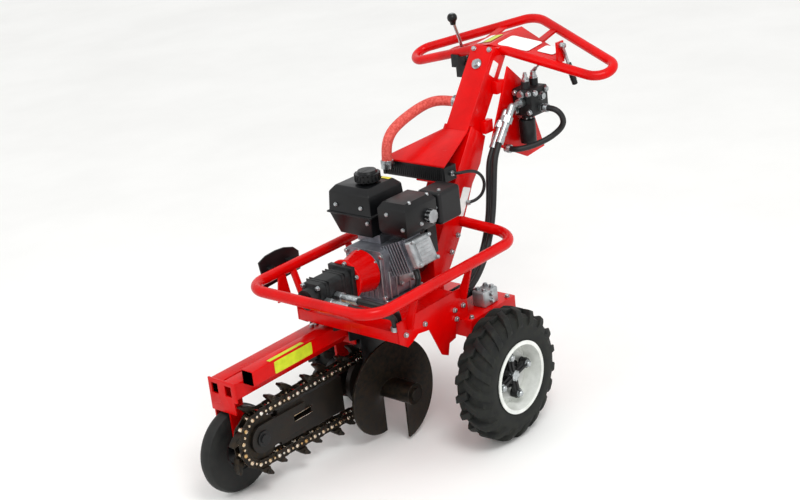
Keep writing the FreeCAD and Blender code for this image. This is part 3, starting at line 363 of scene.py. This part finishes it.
for name, (route, diameter, length) in (ROUTES | THIN_ROUTES).items():
    line = bpy.data.curves.new(name + "_rubber", "CURVE")
    line.dimensions = "3D"
    line.bevel_depth = diameter / 2000
    line.bevel_resolution = 5
    line.resolution_u = 8
    line.use_fill_caps = True
    spline = line.splines.new("NURBS")
    spline.points.add(len(route) - 1)
    for point, place in zip(spline.points, route):
        point.co = (*at(*place), 1)
    spline.order_u = 3
    spline.use_endpoint_u = True
    line.materials.append(sleeve_red if diameter == SLEEVE else hose_rubber)
    hose = bpy.data.objects.new(name + "_rubber", line)
    bpy.context.scene.collection.objects.link(hose)
    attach(hose, "frame")
    if name in ROUTES:
        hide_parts(name)
print(len(ROUTES), "hoses and", len(THIN_ROUTES), "thin hose")

# %% [markdown]
# ## Hose ends
# A crimped ferrule is a steel sleeve pressed on in rings, with a hexagon nut behind it. The CAD
# model holds the plain sleeves. The rings and nuts are added here as short turned bars.

# %% Crimp rings and nuts
FERRULE_WALL = 0.003
RING_PROUD, RING_WIDE, RING_PITCH, FIRST_RING = 0.0011, 0.0022, 0.0042, 0.0015
bm = bmesh.new()
for route, diameter, _ in ROUTES.values():
    for end, inner in ((route[0], route[1]), (route[-1], route[-2])):
        start = at(*end)
        way = (start - at(*inner)).normalized()
        ring_radius = diameter / 2000 + FERRULE_WALL + RING_PROUD
        for ring in range(3):
            add_turned(bm, start + way * (FIRST_RING + RING_PITCH * ring), way, ring_radius, RING_WIDE, 28)
ALONG_ELBOW = (   # how far along the elbow, then the radius, the width and the number of sides
    (0.0, 0.0135, 0.006, 28), (0.12, 0.0132, 0.004, 28), (0.24, 0.0132, 0.004, 28),
    (0.36, 0.0132, 0.004, 28), (0.55, 0.0168, 0.022, 6))
for rise, y in ((0, 84), (20, 110)):
    low, high = at(-309, y, 797 + rise), at(-388, y, 893 + rise)
    way = (high - low).normalized()
    for share, radius, depth, sides in ALONG_ELBOW:
        add_turned(bm, low + (high - low) * share, way, radius, depth, sides)
    add_turned(bm, at(-425, y, 893 + rise), (-1, 0, 0), 0.0155, 0.018, 6)
for x, z, y_end in ((424, 545, 8), (380, 548, 8)):
    add_turned(bm, at(x, y_end + 4, z), (0, 1, 0), 0.0165, 0.022, 6)
    for ring in range(5):
        add_turned(bm, at(x, 52 + 8 * ring, z), (0, 1, 0), 0.0133, 0.0045, 28)
crimps = piece("hose_crimps", bm, "frame", zinc, 30)
print("crimps", len(crimps.data.polygons), "faces")

# %% [markdown]
# ## Drive tyres
# A trencher's drive tyre has deep bars in a chevron, so that it climbs out of loose soil. The
# carcass is one section spun round the axle. Each bar is a block cut into slices, sheared along the
# tread and dropped over the shoulder, then copied round the tyre, left and right in turn.

# %% Tyre helpers
TYRE_RADIUS, BEAD_RADIUS = 0.203, 0.1045
TYRE_INNER, TYRE_OUTER = 0.243, 0.361   # how far each wall is from the machine's middle
LUGS, LUG_DEEP = 19, 0.014
PAST_MIDDLE = 0.006                     # how far a bar reaches over the middle of the tread
SHOULDER, SHOULDER_DROP = 0.62, 0.034   # where along a bar it starts to drop, and by how much
TOP_HALF, FOOT_HALF = 0.0115, 0.0155    # half of a bar's width at its top and at its foot
SHEAR = 0.038                           # how far a bar runs along the tread from end to end


def tyre_section(radius, inner, outer, bead):
    """The carcass as (radius, y) points from bead to bead."""
    return [(bead, inner + 0.008), (bead + 0.022, inner + 0.001), (bead + 0.05, inner),
            (radius - 0.030, inner + 0.003), (radius - 0.010, inner + 0.013), (radius - 0.002, inner + 0.032),
            (radius, (inner + outer) / 2), (radius - 0.002, outer - 0.032), (radius - 0.010, outer - 0.013),
            (radius - 0.030, outer - 0.003), (bead + 0.05, outer), (bead + 0.022, outer - 0.001),
            (bead, outer - 0.008)]


def spun(bm, points, centre, steps):
    """Spin (radius, y) points into a closed ring about the Y axis at a centre."""
    ends = [bm.verts.new(centre + Vector((0, y, r))) for r, y in points]
    edges = [bm.edges.new(pair) for pair in zip(ends, ends[1:] + ends[:1])]
    bmesh.ops.spin(bm, geom=ends + edges, cent=centre, axis=(0, 1, 0), dvec=(0, 0, 0), angle=math.tau,
                   steps=steps, use_merge=True)


def lug_mesh(name, sign, radius, half_width):
    """One tread bar from just past the middle of the tread to the shoulder, as a mesh to copy."""
    bm = bmesh.new()
    bmesh.ops.create_cube(bm, size=1)
    edges = [e for e in bm.edges if abs(e.verts[0].co.y - e.verts[1].co.y) > 0.5]
    bmesh.ops.subdivide_edges(bm, edges=edges, cuts=5, use_grid_fill=True)
    for v in bm.verts:
        share = v.co.y + 0.5
        y = -PAST_MIDDLE + share * (half_width + PAST_MIDDLE)
        drop = SHOULDER_DROP * max(0.0, share - SHOULDER) ** 1.6 / (1 - SHOULDER) ** 1.6
        top = v.co.z > 0
        across = (TOP_HALF if top else FOOT_HALF) * (1.1 - 0.2 * share) * (1 if v.co.x > 0 else -1)
        out_to = radius - drop if top else radius - LUG_DEEP - 0.012 - drop * 0.8
        x = across + SHEAR * share ** 0.85
        v.co = Vector((x, sign * y, math.sqrt(out_to ** 2 - x ** 2)))
    bmesh.ops.recalc_face_normals(bm, faces=bm.faces)
    crown = [e for e in bm.edges if e.calc_face_angle() > 0.7
             and all(v.co.z > radius - 0.041 and v.co.z > radius - LUG_DEEP - abs(v.co.y) * 0.55
                     for v in e.verts)]
    bmesh.ops.bevel(bm, geom=crown, offset=0.0022, segments=2, profile=0.5, affect="EDGES", material=-1,
                    clamp_overlap=True)
    mesh = bpy.data.meshes.new(name)
    bm.to_mesh(mesh)
    bm.free()
    return mesh


def add_copy(bm, mesh, matrix):
    """Add a copy of a mesh to a bmesh, placed by a matrix. New corners are told from old ones by a
    set, because their order in the bmesh isn't the order in which they were made."""
    old = set(bm.verts)
    bm.from_mesh(mesh)
    bmesh.ops.transform(bm, verts=[v for v in bm.verts if v not in old], matrix=matrix)


# %% Drive tyres
for side, sign in (("left", 1), ("right", -1)):
    bm = bmesh.new()
    centre = at(0, 0, 203)
    low, high = (TYRE_INNER, TYRE_OUTER) if sign > 0 else (-TYRE_OUTER, -TYRE_INNER)
    spun(bm, tyre_section(TYRE_RADIUS - LUG_DEEP, low, high, BEAD_RADIUS), centre, 96)
    bmesh.ops.recalc_face_normals(bm, faces=bm.faces)
    middle = centre + Vector((0, (low + high) / 2, 0))
    for row in (1, -1):
        bar = lug_mesh("tread_bar", row, 0.2028, 0.0585)
        for step in range(LUGS):
            turn = math.tau * (step + (0.5 if row < 0 else 0)) / LUGS
            add_copy(bm, bar, Matrix.Translation(middle) @ Matrix.Rotation(turn, 4, "Y"))
    tyre = piece("tread_tyre_" + side, bm, "wheel_" + side, tyre_rubber, 38)
    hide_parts("tyre_" + side)
    print(tyre.name, len(tyre.data.polygons), "faces")

# %% [markdown]
# ## Wheel hubs
# Each hub is a black casting with four arms that stand proud of the wheel disc. Each arm ends in a
# boss with a zinc nut, and a larger nut holds the axle. One arm is made, with its web and its boss,
# and copied round.

# %% Hub castings and wheel nuts
ARMS, FIRST_ARM = 4, 12   # the second is the first arm's angle in degrees
BOSS_OUT = 0.066          # how far a boss is from the axle
for side, sign in (("left", 1), ("right", -1)):
    arm = bmesh.new()
    add_block(arm, Vector((-0.0125, -0.007, 0.012)), Vector((0.0125, 0.007, 0.079)), 0.0035)
    add_turned(arm, Vector((0, -0.013 * sign, BOSS_OUT)), (0, sign, 0), 0.0165, 0.022, 28, 0.0145)
    add_block(arm, Vector((-0.004, -0.012, 0.012)), Vector((0.004, 0.012, 0.056)), 0.0015)
    arm_mesh = bpy.data.meshes.new("hub_arm")
    arm.to_mesh(arm_mesh)
    arm.free()
    bm = bmesh.new()
    add_turned(bm, at(0, sign * 306, 203), (0, sign, 0), 0.046, 0.014, 48, 0.040)
    add_turned(bm, at(0, sign * 319, 203), (0, sign, 0), 0.030, 0.010, 40, 0.026)
    nuts = []
    for index in range(ARMS):
        angle = math.radians(FIRST_ARM + 360 / ARMS * index)
        turn = Matrix.Translation(at(0, sign * 326, 203)) @ Matrix.Rotation(angle, 4, "Y")
        add_copy(bm, arm_mesh, turn)
        nuts.append((turn @ Vector((0, 0.0085 * sign, BOSS_OUT)), (0, sign, 0)))
    piece("hub_casting_" + side, bm, "wheel_" + side, enamel_dark, 30)
    bolts("wheel_nuts_" + side, "wheel_" + side, nuts, 18.5, 10)
    bolts("axle_nut_" + side, "wheel_" + side, [(at(0, sign * 328, 203), (0, sign, 0))], 32, 13)
print("two hubs with", ARMS, "arms each")

# %% [markdown]
# ## Nose wheel
# The small front wheel is a solid rubber tyre with rounded shoulders on a pressed steel disc. Both
# are spun sections.

# %% Nose wheel
centre = at(662, 0, 134)
bm = bmesh.new()
spun(bm, [(0.0622, -0.223), (0.085, -0.2245), (0.112, -0.224), (0.127, -0.219), (0.1335, -0.208),
          (0.134, -0.200), (0.1335, -0.192), (0.127, -0.181), (0.112, -0.176), (0.085, -0.1755),
          (0.0622, -0.177)], centre, 72)
nose = piece("nose_tyre_rounded", bm, "nose_wheel", solid_rubber, 40, True)
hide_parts("nose_tyre")
bm = bmesh.new()
spun(bm, [(0.0092, -0.222), (0.020, -0.222), (0.020, -0.209), (0.046, -0.206), (0.052, -0.218),
          (0.0618, -0.220), (0.0618, -0.180), (0.052, -0.182), (0.046, -0.194), (0.020, -0.191),
          (0.020, -0.178), (0.0092, -0.178)], centre, 64)
disc = piece("nose_disc_pressed", bm, "nose_wheel", enamel_dark, 32, True)
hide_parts("nose_rim")
bolts("nose_axle_nuts", "frame", [(at(662, -158, 134), (0, 1, 0)), (at(662, -242, 134), (0, -1, 0))], 16, 9)
print(nose.name, len(nose.data.polygons), "faces,", disc.name, len(disc.data.polygons), "faces")

# %% [markdown]
# ## Sheet metal, tube and castings
# The solids that show are copied with rounded edges: square tube has soft corners, flame-cut plate
# has a small radius and moulded tanks have a large one. The number in each row is that radius in
# millimetres. The nodes in the second list keep their CAD meshes and only get a finish.

# %% Rounded copies
ROUNDED = (
    ("front_rails", "frame", enamel_red, 4.5), ("nose_fork", "frame", enamel_red, 1.2),
    ("side_plates", "frame", enamel_red, 1.0), ("deck_plate", "frame", enamel_red, 1.5),
    ("chassis_brackets", "frame", enamel_red, 1.0), ("rear_box", "frame", enamel_red, 4.0),
    ("hydraulic_tank", "frame", enamel_red, 3.0), ("tank_hood", "frame", enamel_red, 1.5),
    ("steering_column", "frame", enamel_red, 1.6), ("valve_bracket", "frame", enamel_red, 1.0),
    ("fuel_tank", "frame", moulded_black, 6.0), ("air_cleaner", "frame", moulded_black, 5.0),
    ("control_valve", "frame", pump_black, 1.5), ("oil_filter", "frame", pump_black, 3.0),
    ("lift_valve", "frame", pump_black, 2.0), ("hydraulic_pump", "frame", pump_black, 3.0),
    ("oil_cooler", "frame", enamel_dark, 2.0), ("manifold_block", "frame", cast_aluminium, 5.0),
    ("boom_arm", "boom", boom_steel, 1.0), ("chain_cutters", "boom", chain_steel, 1.2),
    ("chain_motor", "frame", pump_black, 3.0), ("auger_shield", "frame", enamel_dark, 1.0),
    ("debris_shield", "frame", enamel_dark, 1.5), ("bell_housing", "frame", enamel_red, 2.5),
)
for node, body, finish, width in ROUNDED:
    rounded_copy(node, body, finish, width)
print(len(ROUNDED), "rounded copies")

# %% Finishes of the nodes that keep their meshes
KEPT = {
    enamel_red: ("guard_hoop", "handlebar", "console_plate"),
    enamel_dark: ("hub_left", "hub_right", "wheel_motors", "lift_cylinder", "muffler", "blower_housing",
                  "idler_bolt"),
    boom_steel: ("boom_bar", "head_shaft"),
    wheel_white: ("rim_left", "rim_right"),
    chain_steel: ("chain_links", "nose_idler", "auger"),
    pin_steel: ("chain_rollers", "lift_rod"),
    zinc: ("hose_fittings", "lift_lever", "traction_lever"),
    cast_aluminium: ("rocker_cover",),
    crank_grey_painted_shade: ("engine_block",),
    moulded_black: ("recoil_grip",),
}
for finish, names in KEPT.items():
    for name in names:
        mesh = frame["nodes"][name].data
        mesh.materials.clear()
        mesh.materials.append(finish)
print(sum(len(n) for n in KEPT.values()), "nodes keep their meshes")


# %% [markdown]
# ## Digging chain
# A trencher chain shows a bright riveted pin head at each side of every joint, with a smaller rivet
# between two pins, and its cutters are bolted on. The places are read from the CAD rollers and
# cutters: the mesh is split into islands and the middle of each one is a pin or a cutter. The long
# window in the boom has its edges rubbed bright by the soil.


# %% Places read from a node
def islands(node):
    """The middle of each separate solid in a CAD node's mesh."""
    bm = bmesh.new()
    bm.from_mesh(frame["nodes"][node].data)
    bmesh.ops.remove_doubles(bm, verts=bm.verts, dist=2e-6)
    left = set(bm.verts)
    middles = []
    while left:
        front = [left.pop()]
        group = []
        while front:
            v = front.pop()
            group.append(v.co.copy())
            for e in v.link_edges:
                other = e.other_vert(v)
                if other in left:
                    left.remove(other)
                    front.append(other)
        low = Vector([min(p[k] for p in group) for k in range(3)])
        high = Vector([max(p[k] for p in group) for k in range(3)])
        middles.append((low + high) / 2)
    bm.free()
    return sorted(middles, key=lambda p: (round(p.x, 4), round(p.z, 4)))


# %% Pin heads, rivets and cutter bolts
HEAD_FOOT, HEAD_CROWN = 0.0158, 0.0182   # how far each part of a pin head is from the chain's middle
RIVET_FOOT, BOLT_FOOT = 0.0125, 0.0222   # the same for a plate rivet and for a cutter's bolt
pins = islands("chain_rollers")
bm = bmesh.new()
for pin in pins:
    for sign in (1, -1):
        foot = Vector((pin.x, pin.y + sign * HEAD_FOOT, pin.z))
        crown = Vector((pin.x, pin.y + sign * HEAD_CROWN, pin.z))
        add_turned(bm, foot, (0, sign, 0), 0.0068, 0.0026, 18, 0.0058)
        add_turned(bm, crown, (0, sign, 0), 0.0052, 0.0018, 14, 0.0030)
piece("chain_pin_heads", bm, "boom", pin_steel, 30)
bm = bmesh.new()
pitch = min((a - b).length for a in pins for b in pins if a is not b)
for first in pins:
    for second in pins:
        if first.x <= second.x and first is not second and (first - second).length < pitch * 1.2:
            middle = (first + second) / 2
            for sign in (1, -1):
                foot = Vector((middle.x, middle.y + sign * RIVET_FOOT, middle.z))
                add_turned(bm, foot, (0, sign, 0), 0.0046, 0.0052, 14, 0.0036)
piece("chain_plate_rivets", bm, "boom", pin_steel, 30)
bm = bmesh.new()
for z_low, z_high in ((178.2, 180.6), (197.6, 199.8)):
    add_block(bm, at(442, -97, z_low), at(518, -92.4, z_high), 0.0004)
piece("boom_window_edge", bm, "boom", pin_steel, 30)
places = []
for cutter in islands("chain_cutters"):
    sign = 1 if cutter.y > pins[0].y else -1
    places.append((Vector((cutter.x, pins[0].y + sign * BOLT_FOOT, cutter.z)), (0, sign, 0)))
bolts("cutter_bolts", "boom", places, 10, 4, chain_steel)
print(len(pins), "pins and", len(places), "cutters")

# %% [markdown]
# ## Engine details
# The engine's face is busy: screws on the air cleaner, a ribbed knob, cast ribs, a ribbed filler cap
# and the spark plug boot. Ribbed knobs are made from a many-sided bar whose alternate sides are
# pushed out, which is how a moulded grip is shaped.


# %% Ribbed knobs
def ribbed(name, body, point, way, radius, height, ribs, deep, finish, node=None):
    """A turned knob with grip ribs round its side. It stands in for a CAD node where one is named."""
    bm = bmesh.new()
    add_turned(bm, point, way, radius - deep, height, ribs * 2)
    axis = Vector(way).normalized()
    sides = [f for f in bm.faces if abs(f.normal.dot(axis)) < 0.3]
    place = turned_to(point, way).inverted()
    sides.sort(key=lambda f: math.atan2(*(place @ f.calc_center_median()).xy))
    bmesh.ops.inset_individual(bm, faces=sides[::2], thickness=0.0004, depth=deep)
    caps = [e for f in bm.faces if abs(f.normal.dot(axis)) > 0.9 and len(f.verts) > 8 for e in f.edges]
    bmesh.ops.bevel(bm, geom=list(set(caps)), offset=deep * 0.8, segments=2, profile=0.5, affect="EDGES",
                    material=-1, clamp_overlap=True)
    obj = piece(name, bm, body, finish, 30)
    if node:
        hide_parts(node)


# %% Filler cap and air cleaner knob
ribbed("filler_cap_ribbed", "fuel_cap", at(109, -70, 806.3), (0, 0, 1), 0.0398, 0.024, 18, 0.002,
       moulded_black, "fuel_cap")
bm = bmesh.new()
add_turned(bm, at(109, -70, 830), (0, 0, 1), 0.032, 0.0082, 40, 0.028)
add_block(bm, at(80, -74, 836.5), at(138, -66, 838.2), 0.0006)
piece("filler_cap_crown", bm, "fuel_cap", moulded_black, 30)
ribbed("air_cleaner_knob", "frame", at(80, 131, 712), (0, 1, 0), 0.0215, 0.0165, 10, 0.0018, cast_aluminium)
print("a ribbed filler cap and a ribbed knob")

# %% [markdown]
# The engine's cylinder points to the machine's left and rises by 21 degrees, so the bolts and ribs
# of its cover and its plug are placed along two directions: out along the cylinder, and over, which
# is square to it and mostly up.

# %% Engine screws, ribs and plug
screws = [(at(x, y, z), way) for x, y, z, way in (
    (150, 119, 770.5, (0, 0.2, 1)), (66, 117, 770.5, (0, 0.2, 1)), (185.5, 60, 740, (1, 0, 0)),
    (185.5, 118, 700, (1, 0, 0)), (185.5, -20, 700, (1, 0, 0)), (120, 131.5, 700, (0, 1, 0)),
    (185.5, -40, 745, (1, 0, 0)), (185.5, -140, 745, (1, 0, 0)), (10, 118, 766, (0, 0, 1)),
    (33.5, 120, 720, (1, 0, 0)), (33.5, 64, 690, (1, 0, 0)))]
bolts("engine_screws", "frame", screws, 10, 4.5)
lean = math.radians(21)
out = Vector((0, math.cos(lean), math.sin(lean)))
over = Vector((0, -math.sin(lean), math.cos(lean)))
crank = at(130, -30, 561)
cover_face = crank + out * 0.184
bolts("rocker_cover_bolts", "frame", [(cover_face + Vector((x, 0, 0)) + over * z, out)
                                     for x in (-0.038, 0.038) for z in (-0.039, 0.033)], 11, 6)
bm = bmesh.new()
for k in range(-2, 3):
    start = crank + out * 0.1885 + Vector((-0.024, 0, 0)) + over * (0.011 * k - 0.003)
    add_turned(bm, start, (1, 0, 0), 0.0016, 0.048, 10)
piece("rocker_cover_ribs", bm, "frame", cast_aluminium, 30)
bm = bmesh.new()
plug = crank + out * 0.150 + Vector((0.03, 0, 0)) - over * 0.050
plug_way = Vector((0.35, 0.5, -0.8))
add_turned(bm, plug, plug_way, 0.0095, 0.03, 20, 0.008)
add_turned(bm, plug + plug_way.normalized() * 0.028, Vector((0.35, 0.1, -1)), 0.0075, 0.028, 20)
piece("spark_plug_boot", bm, "frame", moulded_black, 40)
bm = bmesh.new()
for k in range(7):
    add_block(bm, at(204.5, -95 + 21 * k, 474), at(209, -92 + 21 * k, 600), 0.0008)
for x in (74, 100, 160, 188):
    add_block(bm, at(x, 44, 474), at(x + 3, 49, 560), 0.0008)
add_block(bm, at(86, 44.5, 500), at(150, 51, 552), 0.003)
for k in range(5):
    add_block(bm, at(80 + 24 * k, -109.5, 484), at(83 + 24 * k, -104.5, 606), 0.0008)
piece("crankcase_ribs", bm, "frame", cast_aluminium, 30)
crankcase_bolts = [(at(205.2, y, z), (1, 0, 0)) for y, z in ((-98, 480), (38, 480), (-98, 612), (38, 612))]
crankcase_bolts += [(at(x, 50.6, z), (0, 1, 0)) for x in (92, 144) for z in (506, 546)]
crankcase_bolts += [(at(x, y, 467.2), (0, 0, 1)) for x in (212, 54) for y in (-108, 47)]
bolts("crankcase_bolts", "frame", crankcase_bolts, 13, 7)
print(len(screws), "engine screws and", len(crankcase_bolts), "crankcase bolts")

# %% [markdown]
# ## Pump, bell and cooler details
# The pump is bolted through ribbed cast sections, the bell housing joins it to the engine with rings
# of bolts, and the cooler is a stack of thin fins between two end plates. The two pressure hoses wear
# ribbed moulded boots near their front ends.

# %% Pump, bell and cooler details
boots = bmesh.new()
for y, x_start in ((122, -52), (153, -50)):
    add_turned(boots, at(x_start, y, 428.5), (1, 0, -0.03), 0.0135, 0.062, 28, 0.0148)
    for ring in range(5):
        add_turned(boots, at(x_start + 10 + 10 * ring, y, 428.2), (1, 0, 0), 0.0158, 0.004, 28)
piece("hose_boots", boots, "frame", moulded_black, 30)
DRIVE_Y, DRIVE_Z = -30, 561   # the line of the crankshaft and the pump, in millimetres
bolts("bell_bolts", "frame", [
    (at(300.2, DRIVE_Y + 54 * math.cos(a), DRIVE_Z + 54 * math.sin(a)), (1, 0, 0))
    for a in (0.35, 1.4, 2.8, 3.9)], 12, 7)
bolts("bell_flange_bolts", "frame", [
    (at(214.5, DRIVE_Y + 60 * math.cos(a), DRIVE_Z + 60 * math.sin(a)), (1, 0, 0))
    for a in (0.6, 1.7, 2.7, 4.2, 5.3)], 12, 6)
bolts("pump_bolts", "frame", [
    (at(440.2, DRIVE_Y + y, DRIVE_Z + z), (1, 0, 0)) for y in (-29, 29) for z in (-32, 32)], 12, 7)
bm = bmesh.new()
for x in (334, 346, 402, 414):
    add_block(bm, at(x, -69.4, 518.6), at(x + 3.5, 9.4, 603.4), 0.001)
piece("pump_section_ribs", bm, "frame", pump_black, 30)
FINS = 30
bm = bmesh.new()
for k in range(FINS):
    add_block(bm, at(-95.2, -182 + 8 * k, 752), at(-93.4, -179.5 + 8 * k, 790), 0.0003)
for y in (-190, 48):
    add_block(bm, at(-97, y, 747.5), at(-92.5, y + 12, 794), 0.001)
piece("cooler_fins", bm, "frame", enamel_dark, 30)
print("pump and bell details, and", FINS, "cooler fins")

# %% [markdown]
# ## Fasteners
# The chassis is bolted together with zinc hexagon heads, which catch the light against the red. A
# round plug with a hexagon closes the steering column's face.

# %% Chassis bolts
column_way = Vector((-176, 0, 231)).normalized()
column_face = Vector((column_way.z, 0, -column_way.x))
FACE_OUT = 0.0352   # how far the column's front face is from its middle line
side_places = ((93, 428), (53, 429), (88, 398), (232, 440), (318, 440))
frame_bolts = [(at(x, side * 202.2, z), (0, side, 0)) for side in (1, -1) for x, z in side_places]
frame_bolts += [(at(x, 50.2, z), (0, 1, 0)) for x, z in ((-163, 590), (-137, 563), (-100, 520))]
frame_bolts += [(at(x, y, 385.2), (0, 0, 1)) for x in (-140, 40) for y in (-215, -100, 100, 222)]
frame_bolts += [(at(-162.2, y, 357), (-1, 0, 0)) for y in (-200, -70, 70, 200)]
frame_bolts += [(at(-438, y, 1073) + column_face * FACE_OUT - column_way * 0.012, column_face)
                for y in (-30, 30)]
frame_bolts += [(at(x, y, 368.2), (0, 0, 1)) for x in (262, 284) for y in (-212, -158)]
bolts("frame_bolts", "frame", frame_bolts, 13, 7)
bolts("manifold_plugs", "frame", [(at(x, y, 435.2), (0, 0, 1)) for x in (-90, -52) for y in (180, 204)]
      + [(at(-70, 216.2, z), (0, 1, 0)) for z in (400, 422)], 14, 6)
bolts("valve_caps", "frame", [(at(-512 + 44 * k, 110, 974), (0, 0, 1)) for k in range(2)]
      + [(at(-445.8, y, z), (1, 0, 0)) for y in (84, 136) for z in (880, 940)], 15, 8)
bolts("shield_bolts", "frame", [
    (at(x, -70.8, z), (0, 1, 0)) for x, z in ((290, 430), (150, 425), (130, 180), (200, 110))], 12, 6)
bm = bmesh.new()
spot = at(-262, 0, 842) + column_way * 0.228 + column_face * FACE_OUT
add_turned(bm, spot, column_face, 0.017, 0.004, 28)
add_turned(bm, spot + column_face * 0.003, column_face, 0.012, 0.010, 6)
piece("column_plug", bm, "frame", zinc, 30)
print(len(frame_bolts), "frame bolts")

# %% [markdown]
# The spool valve has steel adapters screwed into its ports, and a thin rod runs from its spool up
# under the console, on the side of the traction lever. The linkage between the rod and the lever is
# not modelled, so the rod stays still when the lever tilts. Each adapter is a hexagon with a round
# neck that stands past it. The last two rows are the ends of the drain hose.

# %% Valve adapters and rod
ADAPTERS = (
    ((-512, 110, 974), (0, 0, 1), 24, 12), ((-468, 110, 974), (0, 0, 1), 24, 12),
    ((-512, 110, 986), (0, 0, 1), 18, 12), ((-468, 110, 986), (0, 0, 1), 14, 16),
    ((-446, 110, 938), (1, 0, 0), 24, 16), ((-490, 147, 925), (0, 1, 0), 24, 15),
    ((-490, 147, 887), (0, 1, 0), 24, 13), ((-520, 147, 940), (0, 1, 0), 18, 9),
    ((-460, 147, 940), (0, 1, 0), 18, 9), ((-474, 102, 850), (0, 0, 1), 30, 10),
    ((-122, 60, 772), (0, 1, 0), 16, 13),
    ((-196, 50, 650), (-0.5, 1, 0), 16, 13),
)
bm = bmesh.new()
for point, way, across, length in ADAPTERS:
    add_turned(bm, at(*point), way, across / math.sqrt(3) / 1000, length * 0.6 / 1000, 6)
    add_turned(bm, at(*point), way, across * 0.42 / 1000, length / 1000, 24)
rod_low = at(-512, 110, 996)
rod = at(-514, 168, 1046) - rod_low
add_turned(bm, rod_low, rod, 0.0032, rod.length, 16)
add_turned(bm, rod_low, rod, 0.0062, 0.016, 6)
piece("valve_adapters", bm, "frame", zinc, 30)
print(len(ADAPTERS), "adapters and a rod of", round(rod.length, 3), "m")

# %% [markdown]
# The two levers end in moulded black nylon, a ball on the lift lever and a ribbed sleeve on the
# traction lever. Both ride on their levers, so that they move with them.

# %% Lever grips
bm = bmesh.new()
bmesh.ops.create_uvsphere(bm, u_segments=32, v_segments=20, radius=0.0163,
                          matrix=Matrix.Translation(at(-455, -150, 1165.7)))
add_turned(bm, at(-457, -150, 1143), (0.04, 0, 1), 0.0085, 0.010, 24, 0.0105)
piece("lift_lever_knob", bm, "lift_lever", moulded_black, 50)
bm = bmesh.new()
grip_top, grip_end = at(-503, 235.3, 1088), at(-557, 235.3, 957)
way = (grip_end - grip_top).normalized()
long = (grip_end - grip_top).length
add_turned(bm, grip_top + way * long * 0.49, way, 0.0096, long * 0.53, 28, 0.0092)
for k in range(6):
    add_turned(bm, grip_top + way * (long * (0.54 + 0.07 * k)), way, 0.0101, 0.003, 28)
piece("traction_grip", bm, "traction_lever", moulded_black, 40)
bolts("traction_pivot_nut", "traction_lever", [(at(-503, 242.4, 1088), (0, 1, 0))], 13, 1.4)
print("a ball and a ribbed sleeve of", round(long * 0.53, 3), "m")

# %% [markdown]
# ## Labels
# The panels where a maker would put printing are thin vinyl sheets, left blank. Each one is a plate
# half a millimetre thick with rounded corners, laid on its surface.


# %% Blank labels
VINYL, VINYL_LIFT = 0.0005, 0.0003   # a sheet's thickness, and how far it is moved out


def label(name, corner, along, up, finish):
    """A blank vinyl panel: a corner, its two sides and its finish. The cross product of along and
    up points out of the surface."""
    bm = bmesh.new()
    ends = [bm.verts.new(p) for p in (corner, corner + along, corner + along + up, corner + up)]
    bm.faces.new(ends)
    bmesh.ops.bevel(bm, geom=list(bm.verts), offset=min(along.length, up.length) * 0.12, segments=4,
                    profile=0.5, affect="VERTICES", material=-1)
    normal = along.cross(up).normalized()
    bmesh.ops.solidify(bm, geom=list(bm.faces), thickness=-VINYL)
    bmesh.ops.translate(bm, verts=bm.verts, vec=normal * VINYL_LIFT)
    piece(name, bm, "frame", finish, 30, True)


def mm(x, y, z):
    """A side or a step given in millimetres, as a vector in metres."""
    return Vector((x, y, z)) / 1000


label("guard_label", at(574, -83.9, 362), mm(-156, 0, 0), mm(0, 0, 38), label_lime)
label("guard_label_top", at(585, -88.5, 404.2), mm(-142, 0, 0), mm(0, -14, 0), label_lime)
label("tank_label_side", at(-172, 50.2, 613), mm(-50, 0, 78), mm(34, 0, 14), label_white)
label("fuel_label", at(66, -60, 800.4), mm(0, 34, 0), mm(-15, 0, 0), label_yellow)
console_front = at(-440, 0, 1092)
back = (at(-620, 0, 1108) - console_front).normalized()
for sign, sheets in ((1, ((20, 105, 10, 88, label_white), (146, 54, 26, 56, label_white))),
                     (-1, ((22, 40, 30, 74, label_lime), (68, 26, 30, 80, label_white)))):
    slope = (at(-497, sign * 222, 1042) - console_front).normalized()
    outward = slope.cross(back).normalized()
    outward *= 1 if outward.z > 0 else -1
    for count, (start, wide, inset, deep, vinyl) in enumerate(sheets):
        corner = console_front + slope * start / 1000 + back * inset / 1000 + outward * 0.0012
        first, second = slope * wide / 1000, back * deep / 1000
        if first.cross(second).z < 0:
            first, second = second, first
        side = "left" if sign > 0 else "right"
        label("console_label_%s_%d" % (side, count + 1), corner, first, second, vinyl)
label("column_label", at(-262, 43.2, 842) + column_way * 0.205 - column_face * 0.012, column_way * 0.048,
      column_face * 0.030, label_white)

# %% [markdown]
# ## Floor
# A pale floor under the wheels takes the soft shadow. It is part of the stage, not of the machine.

# %% Floor
bm = bmesh.new()
bmesh.ops.create_grid(bm, x_segments=2, y_segments=2, size=14)
mesh = bpy.data.meshes.new("floor")
bm.to_mesh(mesh)
bm.free()
mesh.materials.append(floor_grey)
floor = bpy.data.objects.new("floor", mesh)
bpy.context.scene.collection.objects.link(floor)
floor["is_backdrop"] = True

# %% Sizes and finish
low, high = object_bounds()
print("visual box", [round(v, 4) for v in low], [round(v, 4) for v in high])
